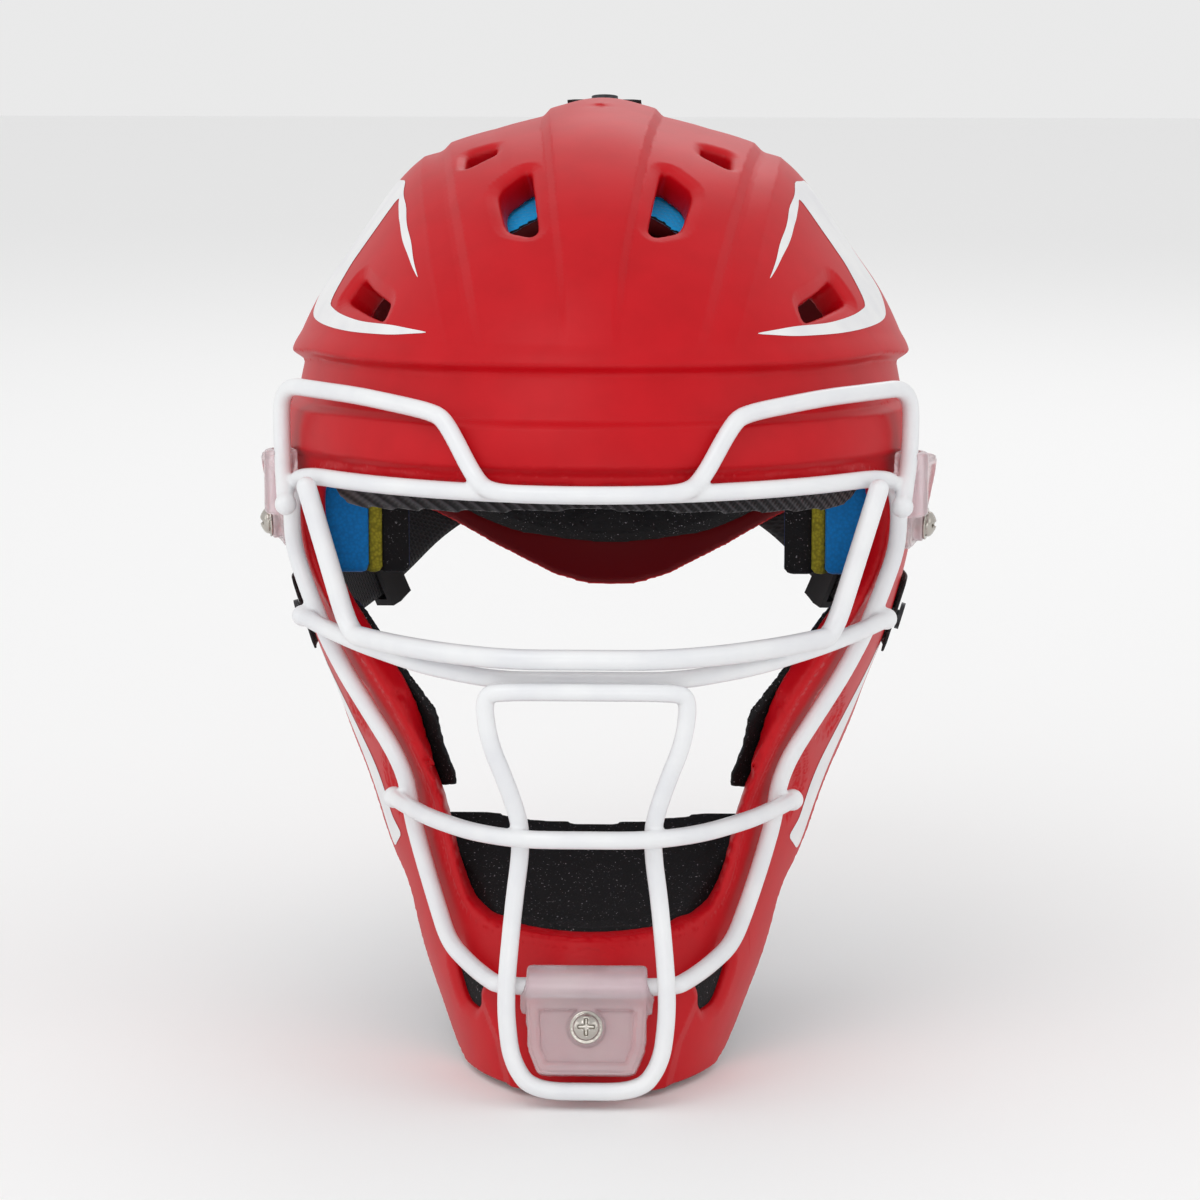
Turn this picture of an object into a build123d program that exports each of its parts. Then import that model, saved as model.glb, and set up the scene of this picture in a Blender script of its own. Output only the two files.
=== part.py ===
from build123d import *
import math
import os

# Baseball catcher helmet, worn on a head whose centre at eye level is the origin.
# The face looks along -Y, +Z is up, lengths are in millimetres.

# Driving sizes of the outer skin
half_width = 105.0
crown_height = 137.5
chin_drop = 162.0
face_reach = 132.0
nape_reach = 128.0
apex_behind_share = 0.141
overrun = 40.0

# Shell and rear plate
shell_wall = 3.2
groove_depth = 1.7
plate_wall = 3.0

# Head that the pads touch
head_half_width = 77.0
head_half_length = 85.0

# Wire cage
wire_diameter = 5.8
eye_bar_diameter = 6.6
cage_stand_off = 4.7
weld_bite = 0.5
corner_arc_share = 0.45
pin_behind_face = 57.0
pin_top = 52.0
pin_bottom = -14.0

# Clips and their screws
clip_height = 31.0
clip_length = 39.0
clip_thickness = 5.5
clip_roll_diameter = 11.0
clip_centre_height = 12.5
clip_centre_ahead = 41.5
clip_corner = 5.0
chin_clip_width = 40.0
chin_clip_low_width = 31.0
chin_clip_height = 26.0
chin_clip_thickness = 6.0
chin_clip_top = -124.6
chin_roll_ahead = 145.5
screw_head_diameter = 8.4
screw_head_height = 2.4
screw_shank_diameter = 4.0
screw_length = 13.0
screw_slot_width = 1.3
screw_slot_depth = 1.2
ring_diameter = 10.8
ring_height = 0.8
nut_flange_diameter = 14.0
nut_flange_thickness = 1.2
nut_barrel_diameter = 6.0
chin_nut_gap = 2.4
fit_gap = 0.12
seat_gap = 0.3

# Foam and fabric
forehead_pad_thickness = 15.0
crown_pad_thickness = 14.0
rear_pad_thickness = 16.0
jaw_pad_thickness = 11.0
chin_pad_thickness = 9.0
chin_scoop_thickness = 9.0
black_layer_thickness = 7.5
yellow_layer_thickness = 3.7
side_pad_top = 46.0
side_pad_bottom = -11.0
side_pad_front = 50.0
side_pad_back = 36.0
layer_gap = 0.15

# Straps, keepers and rivets
strap_width = 25.0
strap_thickness = 1.7
strap_lift = 0.5
keeper_rail = 2.6
keeper_length = 12.0
keeper_window_gap = 0.5
keeper_behind = 73
rivet_head_diameter = 9.0
rivet_head_height = 1.4
rivet_shank_diameter = 3.6

# Vents and small holes
ear_slot_length = 17.0
ear_slot_width = 5.0
ear_slot_pitch = 9.0
ear_slot_height = 6.0
ear_slot_lean = 90.0
jaw_hole_diameter = 5.0
jaw_hole_shares = (0.825, -0.214)

# Skin rows: height, half width, reach ahead, reach behind and place of the widest point as
# shares, then the fullness of the front half and of the rear half of the outline.
skin_row_shares = [
    (-1.000, 0.429, 1.106, -0.234, -0.469, 2.20, 2.1),
    (-0.901, 0.490, 1.129, -0.039, -0.391, 2.20, 2.1),
    (-0.802, 0.567, 1.091, 0.156, -0.297, 2.10, 2.1),
    (-0.747, 0.610, 1.042, 0.281, -0.242, 1.95, 2.1),
    (-0.698, 0.643, 0.989, 0.391, -0.188, 1.80, 2.1),
    (-0.623, 0.699, 0.973, 0.547, -0.133, 1.70, 2.1),
    (-0.463, 0.781, 0.985, 0.781, -0.078, 1.64, 2.1),
    (-0.352, 0.831, 0.996, 0.875, -0.078, 1.75, 2.1),
    (-0.216, 0.908, 1.008, 0.961, -0.078, 1.90, 2.1),
    (-0.123, 0.950, 1.008, 0.992, -0.078, 1.95, 2.1),
    (-0.031, 0.983, 1.008, 1.004, -0.078, 2.00, 2.1),
    (0.073, 0.996, 1.004, 1.004, -0.078, 2.00, 2.1),
    (0.182, 1.000, 1.000, 1.000, -0.078, 2.00, 2.1),
    (0.276, 0.998, 0.992, 0.996, -0.062, 2.00, 2.1),
    (0.349, 0.986, 0.966, 0.984, -0.039, 2.00, 2.1),
    (0.415, 0.971, 0.936, 0.969, -0.016, 2.00, 2.1),
    (0.480, 0.938, 0.905, 0.941, 0.016, 2.00, 2.1),
    (0.560, 0.884, 0.860, 0.906, 0.039, 2.00, 2.1),
    (0.640, 0.810, 0.795, 0.859, 0.062, 2.00, 2.05),
    (0.720, 0.733, 0.712, 0.793, 0.078, 2.00, 2.0),
    (0.815, 0.638, 0.583, 0.691, 0.094, 2.00, 2.0),
    (0.858, 0.576, 0.500, 0.629, 0.102, 2.00, 2.0),
    (0.895, 0.490, 0.417, 0.566, 0.109, 2.00, 2.0),
    (0.924, 0.390, 0.341, 0.508, 0.117, 2.00, 2.0),
    (0.945, 0.295, 0.273, 0.453, 0.125, 2.00, 2.0),
    (0.967, 0.195, 0.182, 0.383, 0.133, 2.00, 2.0),
    (0.989, 0.095, 0.045, 0.281, 0.141, 2.00, 2.0),
]
outline_angles = 16
loft_height_shares = [
    -1.0, -0.87, -0.76, -0.66, -0.50, -0.30, -0.12, 0.08, 0.27, 0.43, 0.57, 0.70, 0.81, 0.89, 0.95, 0.985,
]
floor_thickness = 0.5
pad_lowest_row = 3

# Side outline of the front shell, from the crown's rear edge down and round to the chin
shell_edge_shares = [
    (0.719, 0.873), (0.578, 0.640), (0.453, 0.400), (0.375, 0.145), (0.328, -0.049),
    (0.234, -0.173), (0.062, -0.259), (-0.136, -0.370), (-0.288, -0.494), (-0.379, -0.636),
    (-0.470, -0.698), (-0.561, -0.833), (-0.697, -0.963), (-0.818, -0.994),
]
# Side outline of the rear plate, from its top edge down and out past its lowest point
plate_edge_shares = [
    (0.773, 0.887), (0.641, 0.640), (0.523, 0.400), (0.461, 0.160), (0.484, 0.044),
    (0.625, -0.025), (0.828, -0.111), (0.938, -0.204), (0.992, -0.272), (1.133, -0.370),
]
# Face opening seen from the front, right half from the brow's middle to the chin's
opening_shares = [
    (0.476, 0.207), (0.838, 0.185), (0.905, 0.153), (0.895, 0.058), (0.867, -0.031),
    (0.800, -0.099), (0.714, -0.167), (0.633, -0.235), (0.552, -0.321), (0.486, -0.407),
    (0.438, -0.488), (0.419, -0.556), (0.388, -0.645), (0.343, -0.676), (0.257, -0.688),
]
opening_brow_share = 0.215
opening_chin_share = -0.688
# Recess between crown and brow band, seen from the side
groove_shares = [
    (-1.250, 0.510), (-0.900, 0.484), (0.040, 0.396), (0.230, 0.378), (0.230, 0.331),
    (0.040, 0.334), (-0.900, 0.353), (-1.250, 0.356),
]
# Vents in the crown seen from above: x, y
top_vent_shares = [(0.324, -0.152), (0.412, -0.156), (0.412, -0.284), (0.322, -0.242)]
crown_vent_shares = [
    (0.206, -0.379), (0.187, -0.519), (0.169, -0.620), (0.190, -0.640), (0.267, -0.602),
    (0.298, -0.477), (0.288, -0.440),
]
side_vent_shares = [
    (0.731, -0.341), (0.690, -0.447), (0.625, -0.561), (0.645, -0.588), (0.710, -0.496),
    (0.784, -0.352),
]
rear_vent_shares = [(0.180, 0.430), (0.330, 0.400), (0.380, 0.500), (0.230, 0.540)]
# Vents in the chin guard and in the rear plate, seen from the front: x, z
chin_vent_shares = [
    (0.434, -0.775), (0.397, -0.780), (0.317, -0.787), (0.339, -0.840), (0.351, -0.856),
    (0.392, -0.849),
]
plate_vent_shares = [(0.180, 0.360), (0.400, 0.400), (0.420, 0.330), (0.200, 0.270)]

# Cage wires, right halves: x, z for wires that follow the skin, x, ahead, z for the others
perimeter_shares = [
    (0.100, 0.206), (0.300, 0.205), (0.457, 0.204), (0.620, 0.200), (0.750, 0.196),
    (0.850, 0.190), (0.912, 0.172), (0.929, 0.120), (0.931, 0.070), (0.924, 0.000),
    (0.876, -0.080), (0.824, -0.160), (0.757, -0.235), (0.681, -0.309), (0.605, -0.383),
    (0.567, -0.444), (0.552, -0.519), (0.519, -0.593), (0.476, -0.673), (0.429, -0.735),
    (0.357, -0.759),
]
chin_run_share = 0.257
chin_bend_shares = (0.300, 1.040, -0.767)
weld_point_shares = (0.929, 0.040)
upper_loop_shares = [(0.689, 0.390), (0.460, 0.374), (0.420, 0.352), (0.330, 0.228)]
upper_loop_low_shares = [0.275, 0.100]
upper_loop_low_height_share = 0.211
centre_loop_shares = [
    (0.238, 1.178, -0.182), (0.300, 1.163, -0.191), (0.286, 1.159, -0.278),
    (0.233, 1.148, -0.364), (0.195, 1.128, -0.444), (0.195, 1.120, -0.506),
    (0.214, 1.118, -0.599), (0.235, 1.140, -0.741), (0.238, 1.146, -0.815),
    (0.222, 1.155, -0.905), (0.160, 1.172, -0.961),
]
eye_bar_reach_share = 1.197
eye_bar_height_share = -0.121
eye_bar_end_shares = (0.724, 0.811, -0.127)
eye_post_top_shares = (0.862, 0.705, 0.175)
cheek_bar_reach_share = 1.136
cheek_bar_height_share = -0.177
cheek_bar_end_shares = (0.893, 0.566, -0.128)
mouth_bar_reach_share = 1.201
mouth_bar_height_share = -0.467
mouth_bar_end_shares = (0.610, 0.652, -0.480)
bow_point_shares = [0.30, 0.55, 0.78, 0.92]
cheek_bow_power = 2.2
mouth_bow_power = 2.6
eye_bow_power = 2.2

# Outlines of the linings: forehead seen from the front, crown from above, others from the side
forehead_pad_shares = [
    (0.000, 0.150), (0.500, 0.122), (0.800, 0.092), (0.860, 0.250), (0.500, 0.420), (0.000, 0.440),
]
crown_pad_shares = [
    (0.050, -0.430), (0.270, -0.520), (0.470, -0.360), (0.600, -0.050), (0.580, 0.250),
    (0.400, 0.420), (0.050, 0.300),
]
rear_crown_pad_shares = [(0.0, 0.350), (0.400, 0.460), (0.330, 0.580), (0.0, 0.640)]
jaw_pad_shares = [
    (-0.500, -0.100), (-0.240, -0.100), (-0.060, -0.235), (-0.240, -0.430), (-0.330, -0.475),
    (-0.640, -0.475), (-0.700, -0.350), (-0.610, -0.200),
]
upper_rear_pad_shares = [(0.850, 0.700), (0.650, 0.330), (1.400, 0.330), (1.400, 0.900)]
lower_rear_pad_shares = [(0.600, 0.290), (0.650, 0.020), (0.980, -0.185), (1.400, -0.240), (1.400, 0.290)]
chin_scoop_shares = [(-0.890, -0.672), (-0.790, -0.682), (-0.640, -0.628), (-0.440, -0.530)]

# Strap lines seen from the side
lower_strap_shares = [
    (-0.152, -0.176), (0.156, -0.191), (0.391, -0.185), (0.5625, -0.164), (0.703, -0.123), (0.844, -0.056),
]
top_strap_front_share = 0.350
top_strap_back_share = 0.850


def tall(share):
    """Height above or below eye level."""
    return share * (crown_height if share > 0 else chin_drop)


def deep(share):
    """Place behind the head's centre if positive, ahead of it if negative."""
    return share * (nape_reach if share > 0 else face_reach)


def place(x_share, ahead_share, height_share):
    return Vector(x_share * half_width, -ahead_share * face_reach, tall(height_share))


def skin_level(height, grow=0.0):
    """Half width, front, rear, widest place and fullness of the skin's outline at a height."""
    stretch = 1 + grow / crown_height if height > 0 else 1
    rows = [(tall(row[0]),) + tuple(row) for row in skin_row_shares]
    base = min(max(height / stretch, rows[0][0]), rows[-1][0])
    index = max(i for i in range(len(rows) - 1) if rows[i][0] <= base)
    low, high = rows[index], rows[index + 1]
    part = (base - low[0]) / (high[0] - low[0])
    values = []
    for column in range(2, 8):
        before = rows[max(index - 1, 0)]
        after = rows[min(index + 2, len(rows) - 1)]
        slope_low = (high[column] - before[column]) / (high[0] - before[0]) * (high[0] - low[0])
        slope_high = (after[column] - low[column]) / (after[0] - low[0]) * (high[0] - low[0])
        values.append(
            (2 * part**3 - 3 * part**2 + 1) * low[column]
            + (part**3 - 2 * part**2 + part) * slope_low
            + (3 * part**2 - 2 * part**3) * high[column]
            + (part**3 - part**2) * slope_high
        )
    width, ahead, behind, widest, front_full, rear_full = values
    width, front = width * half_width, -ahead * face_reach
    rear, middle = behind * nape_reach, widest * nape_reach
    if height > 0:
        width *= 1 + grow / half_width
        front = middle + (front - middle) * (1 + grow / face_reach)
        rear = middle + (rear - middle) * (1 + grow / nape_reach)
    else:
        width, front, rear = width + grow, front - grow, rear + grow
    return width, front, rear, middle, front_full, rear_full


def front_of(x, height, grow=0.0):
    """Place along Y of the skin's front at one x and height."""
    width, front, rear, middle, front_full, rear_full = skin_level(height, grow)
    side = min(abs(x) / width, 1)
    return middle + (front - middle) * (1 - side**front_full) ** (1 / front_full)


def rear_of(x, height, grow=0.0):
    width, front, rear, middle, front_full, rear_full = skin_level(height, grow)
    side = min(abs(x) / width, 1)
    return middle + (rear - middle) * (1 - side**rear_full) ** (1 / rear_full)


def side_of(y, height, grow=0.0):
    """Half width of the skin at one y and height."""
    width, front, rear, middle, front_full, rear_full = skin_level(height, grow)
    reach, full = (front - middle, front_full) if y < middle else (rear - middle, rear_full)
    return width * (1 - min((y - middle) / reach, 1) ** full) ** (1 / full)


def skin_outline(height, grow):
    width, front, rear, middle, front_full, rear_full = skin_level(height, grow)
    points = []
    for step in range(outline_angles):
        angle = math.pi + math.tau * step / outline_angles
        across, along = math.cos(angle), math.sin(angle)
        full = rear_full if along > 0 else front_full
        reach = rear - middle if along > 0 else middle - front
        x = width * math.copysign(abs(across) ** (2 / full), across)
        y = middle + reach * math.copysign(abs(along) ** (2 / full), along)
        points.append(Vector(x, y, height))
    return Wire([Spline(*points, periodic=True)])


skins = {}


def skin(grow, lowest_row=0):
    """Closed solid of the helmet's outer form, grown or shrunk, from one loft row upwards."""
    if (grow, lowest_row) not in skins:
        wires = []
        for share in loft_height_shares[lowest_row:]:
            height = tall(share)
            if height > 0:
                height *= 1 + grow / crown_height
            if share == loft_height_shares[0] and grow:
                height += math.copysign(floor_thickness, -grow)
            wires.append(skin_outline(height, grow))
        apex = Vertex(0, apex_behind_share * nape_reach, crown_height + grow)
        skins[grow, lowest_row] = Solid.make_loft(wires + [apex])
    return skins[grow, lowest_row]


def lining(region, outer, inner, lowest_row=pad_lowest_row):
    """The part of a region that lies between two offsets of the skin."""
    return (region & skin(outer, lowest_row)) - skin(inner, lowest_row)


def side_prism(points, start=-half_width - overrun, end=half_width + overrun):
    """Solid with the given outline in the Y-Z plane between two places along X."""
    wire = Wire.make_polygon([Vector(start, y, z) for y, z in points], close=True)
    return Solid.extrude(Face(wire), Vector(end - start, 0, 0))


def front_prism(points, start, end):
    """Solid with the given outline in the X-Z plane between two places along Y."""
    wire = Wire.make_polygon([Vector(x, start, z) for x, z in points], close=True)
    return Solid.extrude(Face(wire), Vector(0, end - start, 0))


def top_prism(points, start, end):
    """Solid with the given outline in the X-Y plane between two heights."""
    wire = Wire.make_polygon([Vector(x, y, start) for x, y in points], close=True)
    return Solid.extrude(Face(wire), Vector(0, 0, end - start))


def both_sides(solid):
    return [solid, solid.mirror(Plane.YZ)]


def mirrored(points):
    """Right-half points followed by their mirror images, as one closed loop."""
    return points + [Vector(-p.X, p.Y, p.Z) for p in reversed(points)]


def corner_radii(points, closed, share=corner_arc_share):
    """As large an arc at each corner as its two runs allow."""
    count = len(points)
    corners = range(count) if closed else range(1, count - 1)
    radii = []
    for i in corners:
        back = points[i] - points[i - 1]
        ahead = points[(i + 1) % count] - points[i]
        half_turn = math.radians(max(back.get_angle(ahead), 0.5)) / 2
        radii.append(share * min(back.length, ahead.length) / math.tan(half_turn))
    return radii


def wire_along(points, diameter, closed=False):
    path = FilletPolyline(*points, radius=corner_radii(points, closed), close=closed)
    path = Wire(path.edges())
    section = Plane(path @ 0, z_dir=path % 0) * Circle(diameter / 2)
    return sweep(section, path=path).solids()[0]


def bow(reach_share, height_share, end_shares, power):
    """Points of a bar that bows forward between two like ends."""
    middle, end = place(0, reach_share, height_share), place(*end_shares)
    right = [
        Vector(
            end.X * s,
            middle.Y + (end.Y - middle.Y) * s**power,
            middle.Z + (end.Z - middle.Z) * s**2,
        )
        for s in bow_point_shares
    ]
    half = right + [end]
    return [Vector(-p.X, p.Y, p.Z) for p in reversed(half)] + half


def on_skin(points, grow):
    return [
        Vector(x * half_width, front_of(x * half_width, tall(z), grow), tall(z)) for x, z in points
    ]


# Regions and cutters of the shell and the rear plate
def groove_cutter():
    points = [(deep(y), tall(z)) for y, z in groove_shares]
    return side_prism(points) - skin(-groove_depth)


def front_region():
    edge = [(deep(y), tall(z)) for y, z in shell_edge_shares]
    top = (edge[0][0] + overrun / 2, crown_height + overrun)
    ahead = -face_reach - 2 * overrun
    lip = tall(shell_edge_shares[-1][1])
    return side_prism([top] + edge + [(ahead, lip), (ahead, crown_height + overrun)])


def rear_region():
    edge = [(deep(y), tall(z)) for y, z in plate_edge_shares]
    top = (edge[0][0] + overrun / 2, crown_height + overrun)
    return side_prism([top] + edge + [(nape_reach + 2 * overrun, crown_height + overrun)])


def face_opening():
    right = [(x * half_width, tall(z)) for x, z in opening_shares]
    left = [(-x, z) for x, z in reversed(right)]
    points = [(0, tall(opening_brow_share))] + right + [(0, tall(opening_chin_share))] + left
    return front_prism(points, -face_reach - 2 * overrun, -face_reach / 6)


def crown_vents():
    cuts = []
    for shares in (top_vent_shares, crown_vent_shares, side_vent_shares, rear_vent_shares):
        points = [(x * half_width, deep(y)) for x, y in shares]
        cuts += both_sides(top_prism(points, crown_height / 3, crown_height + overrun))
    return cuts


def chin_vents():
    points = [(x * half_width, tall(z)) for x, z in chin_vent_shares]
    return both_sides(front_prism(points, -face_reach - overrun, -face_reach / 2))


def plate_vents():
    points = [(x * half_width, tall(z)) for x, z in plate_vent_shares]
    return both_sides(front_prism(points, nape_reach / 2, nape_reach + overrun))


def ear_slots():
    cuts = []
    for step in (0, 1, 2):
        at = Vector(half_width - overrun / 2, step * ear_slot_pitch, ear_slot_height)
        frame = Plane(at, x_dir=Vector(0, 1, 0), z_dir=Vector(1, 0, 0))
        frame = frame.rotated((0, 0, ear_slot_lean))
        slot = frame * extrude(SlotOverall(ear_slot_length, ear_slot_width), overrun)
        cuts += both_sides(slot.solids()[0])
    return cuts


def hole(at, direction, diameter, length=overrun):
    """Round cutter centred on a point."""
    return Solid.make_cylinder(
        diameter / 2, length, Plane(at - direction * (length / 2), z_dir=direction)
    )


def rod(at, direction, diameter, start, end):
    """Cylinder between two distances from a point along a direction."""
    return Solid.make_cylinder(diameter / 2, end - start, Plane(at + direction * start, z_dir=direction))


def opposite(frame):
    at, out = frame
    return Vector(-at.X, at.Y, at.Z), Vector(-out.X, out.Y, out.Z)


# Places where screws and rivets pass the skin, each with its outward direction
def skin_frame(y, height):
    """Point of the right cheek's or ear's skin and its outward direction."""
    lean = side_of(y + clip_corner, height) - side_of(y - clip_corner, height)
    tip = side_of(y, height + clip_corner) - side_of(y, height - clip_corner)
    return Vector(side_of(y, height), y, height), Vector(2 * clip_corner, -lean, -tip).normalized()


def clip_frame():
    return skin_frame(-clip_centre_ahead, clip_centre_height)


def side_screw_frame():
    return skin_frame(-clip_centre_ahead + clip_length / 8, clip_centre_height - clip_height / 4)


def chin_screw_frame():
    height = chin_clip_top - chin_clip_height / 2
    fall = front_of(0, height + clip_corner) - front_of(0, height - clip_corner)
    return Vector(0, front_of(0, height), height), Vector(0, -2 * clip_corner, fall).normalized()


def crown_frame(y):
    """Point of the crown's skin on the middle plane behind the apex."""
    def height_at(behind):
        low, high = crown_height / 3, crown_height
        for halving in range(40):
            middle = (low + high) / 2
            low, high = (middle, high) if rear_of(0, middle) > behind else (low, middle)
        return low

    rise = height_at(y + clip_corner) - height_at(y - clip_corner)
    return Vector(0, y, height_at(y)), Vector(0, -rise, 2 * clip_corner).normalized()


def strap_front_frames():
    side = skin_frame(deep(lower_strap_shares[0][0]), tall(lower_strap_shares[0][1]))
    return [side, opposite(side), crown_frame(deep(top_strap_front_share))]


def strap_rear_frames():
    side = skin_frame(deep(lower_strap_shares[-1][0]), tall(lower_strap_shares[-1][1]))
    return [side, opposite(side), crown_frame(deep(top_strap_back_share))]


# Shell and rear plate
def front_shell():
    wall = (front_region() & skin(0.0)) - skin(-shell_wall)
    cutters = [face_opening(), groove_cutter(), *crown_vents(), *chin_vents(), *ear_slots()]
    barrel = nut_barrel_diameter + 2 * fit_gap
    for frame in (side_screw_frame(), opposite(side_screw_frame()), chin_screw_frame()):
        cutters.append(hole(*frame, barrel))
    for frame in strap_front_frames():
        cutters.append(hole(*frame, rivet_shank_diameter + 2 * fit_gap))
    for sign in (1, -1):
        cutters.append(hole(*jaw_hole_frame(sign), jaw_hole_diameter))
    return wall.cut(*cutters)


def jaw_hole_frame(sign):
    x, z = jaw_hole_shares[0] * half_width, tall(jaw_hole_shares[1])
    y = front_of(x, z)
    lean = front_of(x + clip_corner / 2, z) - front_of(x - clip_corner / 2, z)
    return Vector(sign * x, y, z), Vector(sign * lean, -clip_corner, 0).normalized()


def rear_plate():
    wall = (rear_region() & skin(0.0)) - skin(-plate_wall)
    cutters = plate_vents()
    for frame in strap_rear_frames():
        cutters.append(hole(*frame, rivet_shank_diameter + 2 * fit_gap))
    return wall.cut(*cutters)


# Cage
def perimeter_points():
    half = on_skin(perimeter_shares, cage_stand_off) + [place(*chin_bend_shares)]
    chin = Vector(chin_run_share * half_width, -chin_roll_ahead, chin_clip_top)
    return mirrored(half + [chin])


def upper_loop_points():
    top = Vector(pin_x(), -pin_behind_face, pin_top)
    foot = Vector(pin_x(), -pin_behind_face, pin_bottom)
    x, z = weld_point_shares[0] * half_width, tall(weld_point_shares[1])
    bite = cage_stand_off + wire_diameter - weld_bite
    weld = Vector(x + clip_corner / 2, front_of(x, z, bite), z)
    upper = on_skin(upper_loop_shares, cage_stand_off)
    lower = on_skin([(x, upper_loop_low_height_share) for x in upper_loop_low_shares], bite)
    return mirrored([weld, foot, top] + upper + lower)


def pin_x():
    return side_of(-pin_behind_face, clip_centre_height, cage_stand_off)


def eye_bar_points():
    top = place(*eye_post_top_shares)
    bar = bow(eye_bar_reach_share, eye_bar_height_share, eye_bar_end_shares, eye_bow_power)
    return [Vector(-top.X, top.Y, top.Z)] + bar + [top]


# Clips and fasteners
def side_clip():
    at, out = clip_frame()
    frame = Plane(at, x_dir=Vector(-out.Y, out.X, 0), z_dir=out)
    body = Box(clip_length, clip_height, 2 * clip_thickness)
    body = fillet(body.edges().filter_by(Axis.Z), clip_corner)
    body = fillet(body.faces().sort_by(Axis.Z)[-1].edges(), clip_thickness / 4)
    body = frame * body
    roll_low = pin_bottom + 3 * clip_corner
    roll = Cylinder(clip_roll_diameter / 2, clip_centre_height + clip_height / 2 - roll_low)
    pin = Vector(pin_x(), -pin_behind_face, 0)
    roll = Pos(pin.X, pin.Y, (roll_low + clip_centre_height + clip_height / 2) / 2) * roll
    screw_at, screw_out = side_screw_frame()
    boss = rod(screw_at, screw_out, ring_diameter, 0, clip_thickness + ring_height)
    clip = (body + roll + boss).solids()[0]
    return clip.cut(
        skin(seat_gap),
        hole(pin, Vector(0, 0, 1), wire_diameter + 2 * fit_gap, 4 * clip_height),
        hole(screw_at, screw_out, screw_shank_diameter + 2 * fit_gap),
    )


def chin_clip():
    at, out = chin_screw_frame()
    frame = Plane(at, x_dir=Vector(1, 0, 0), z_dir=out)
    top, low, half = chin_clip_width / 2, chin_clip_low_width / 2, chin_clip_height / 2
    outline = Polygon((-top, half), (-low, -half), (low, -half), (top, half), align=None)
    outline = fillet(outline.vertices(), clip_corner * 4 / 5)
    body = Pos(0, 0, -chin_clip_thickness) * extrude(outline, 2 * chin_clip_thickness)
    body = fillet(body.faces().sort_by(Axis.Z)[-1].edges(), chin_clip_thickness / 5)
    roll_at = Vector(0, -chin_roll_ahead, chin_clip_top)
    roll_length = chin_clip_width - clip_corner / 2
    roll = rod(roll_at, Vector(1, 0, 0), clip_roll_diameter, -roll_length / 2, roll_length / 2)
    boss = rod(at, out, ring_diameter, 0, chin_clip_thickness + ring_height)
    clip = (frame * body + roll + boss).solids()[0]
    return clip.cut(
        skin(seat_gap),
        hole(roll_at, Vector(1, 0, 0), wire_diameter + 2 * fit_gap, 2 * chin_clip_width),
        hole(at, out, screw_shank_diameter + 2 * fit_gap),
    )


def screw(frame, seat):
    """Pan head with a cross slot and a spring ring under it, on a seat above the skin."""
    at, out = frame
    head = rod(at, out, screw_head_diameter, seat, seat + screw_head_height)
    shank = rod(at, out, screw_shank_diameter, seat + screw_head_height / 2 - screw_length, seat)
    body = head.fuse(shank)
    slot = Box(screw_head_diameter * 0.6, screw_slot_width, 2 * screw_slot_depth)
    at_top = Plane(at + out * (seat + screw_head_height), z_dir=out)
    for turn in (0, 90):
        body = body - at_top * Rot(0, 0, turn) * slot
    return body.solids()[0]


def nut(frame, wall):
    at, out = frame
    inside = wall + seat_gap + fit_gap
    flange = rod(at, out, nut_flange_diameter, -inside - nut_flange_thickness, -inside)
    barrel = rod(at, out, nut_barrel_diameter, -inside, -3 * seat_gap)
    bore = rod(at, out, screw_shank_diameter + 2 * fit_gap, -overrun, overrun)
    return flange.fuse(barrel).cut(bore)


def rivet(frame, wall):
    at, out = frame
    seat = strap_lift + strap_thickness + seat_gap
    inside = wall + seat_gap
    head = rod(at, out, rivet_head_diameter, seat, seat + rivet_head_height)
    tail = rod(at, out, rivet_head_diameter, -inside - rivet_head_height, -inside)
    shank = rod(at, out, rivet_shank_diameter, -inside, seat)
    return head.fuse(shank, tail)


# Linings
def inner_skin():
    return -shell_wall - seat_gap


def forehead_pad():
    right = [(x * half_width, tall(z)) for x, z in forehead_pad_shares]
    left = [(-x, z) for x, z in reversed(right[1:-1])]
    region = front_prism(right + left, -face_reach - overrun, -side_pad_front - clip_corner / 2)
    return lining(region, inner_skin(), inner_skin() - forehead_pad_thickness)


def crown_pad():
    points = [(x * half_width, deep(y)) for x, y in crown_pad_shares]
    region = top_prism(points, crown_height / 3, crown_height + overrun)
    return lining(region, inner_skin(), inner_skin() - crown_pad_thickness)


def crown_pad_rear():
    right = [(x * half_width, deep(y)) for x, y in rear_crown_pad_shares]
    left = [(-x, y) for x, y in reversed(right[1:-1])]
    region = top_prism(right + left, crown_height / 3, crown_height + overrun)
    pad = lining(region, inner_skin(), inner_skin() - crown_pad_thickness)
    return pad - rivet_pocket(strap_front_frames()[2])


def oval(extra):
    """Upright column of the head's outline, grown."""
    shape = Ellipse(head_half_width + extra, head_half_length + extra)
    return Pos(0, 0, side_pad_bottom - overrun) * extrude(shape, side_pad_top - side_pad_bottom + 2 * overrun)


def side_pad_layers():
    """Black, yellow and blue foam of the right ear pad, from the head outwards."""
    corners = [
        (-side_pad_front, side_pad_bottom), (side_pad_back, side_pad_bottom),
        (side_pad_back, side_pad_top), (-side_pad_front, side_pad_top),
    ]
    region = side_prism(corners, 0, half_width + overrun)
    pocket = nut_pocket(side_screw_frame())
    black_face = black_layer_thickness
    yellow_face = black_face + layer_gap + yellow_layer_thickness
    black = (region & oval(black_face).solids()[0]) - oval(0)
    yellow = (region & oval(yellow_face).solids()[0]) - oval(black_face + layer_gap)
    blue = (region & skin(inner_skin())) - oval(yellow_face + layer_gap)
    return black.solids()[0], yellow.solids()[0], (blue - pocket).solids()[0]


def nut_pocket(frame):
    depth = shell_wall + nut_flange_thickness + 4 * seat_gap
    return rod(*frame, nut_flange_diameter + 4 * seat_gap, -depth - screw_length, 0)


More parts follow.
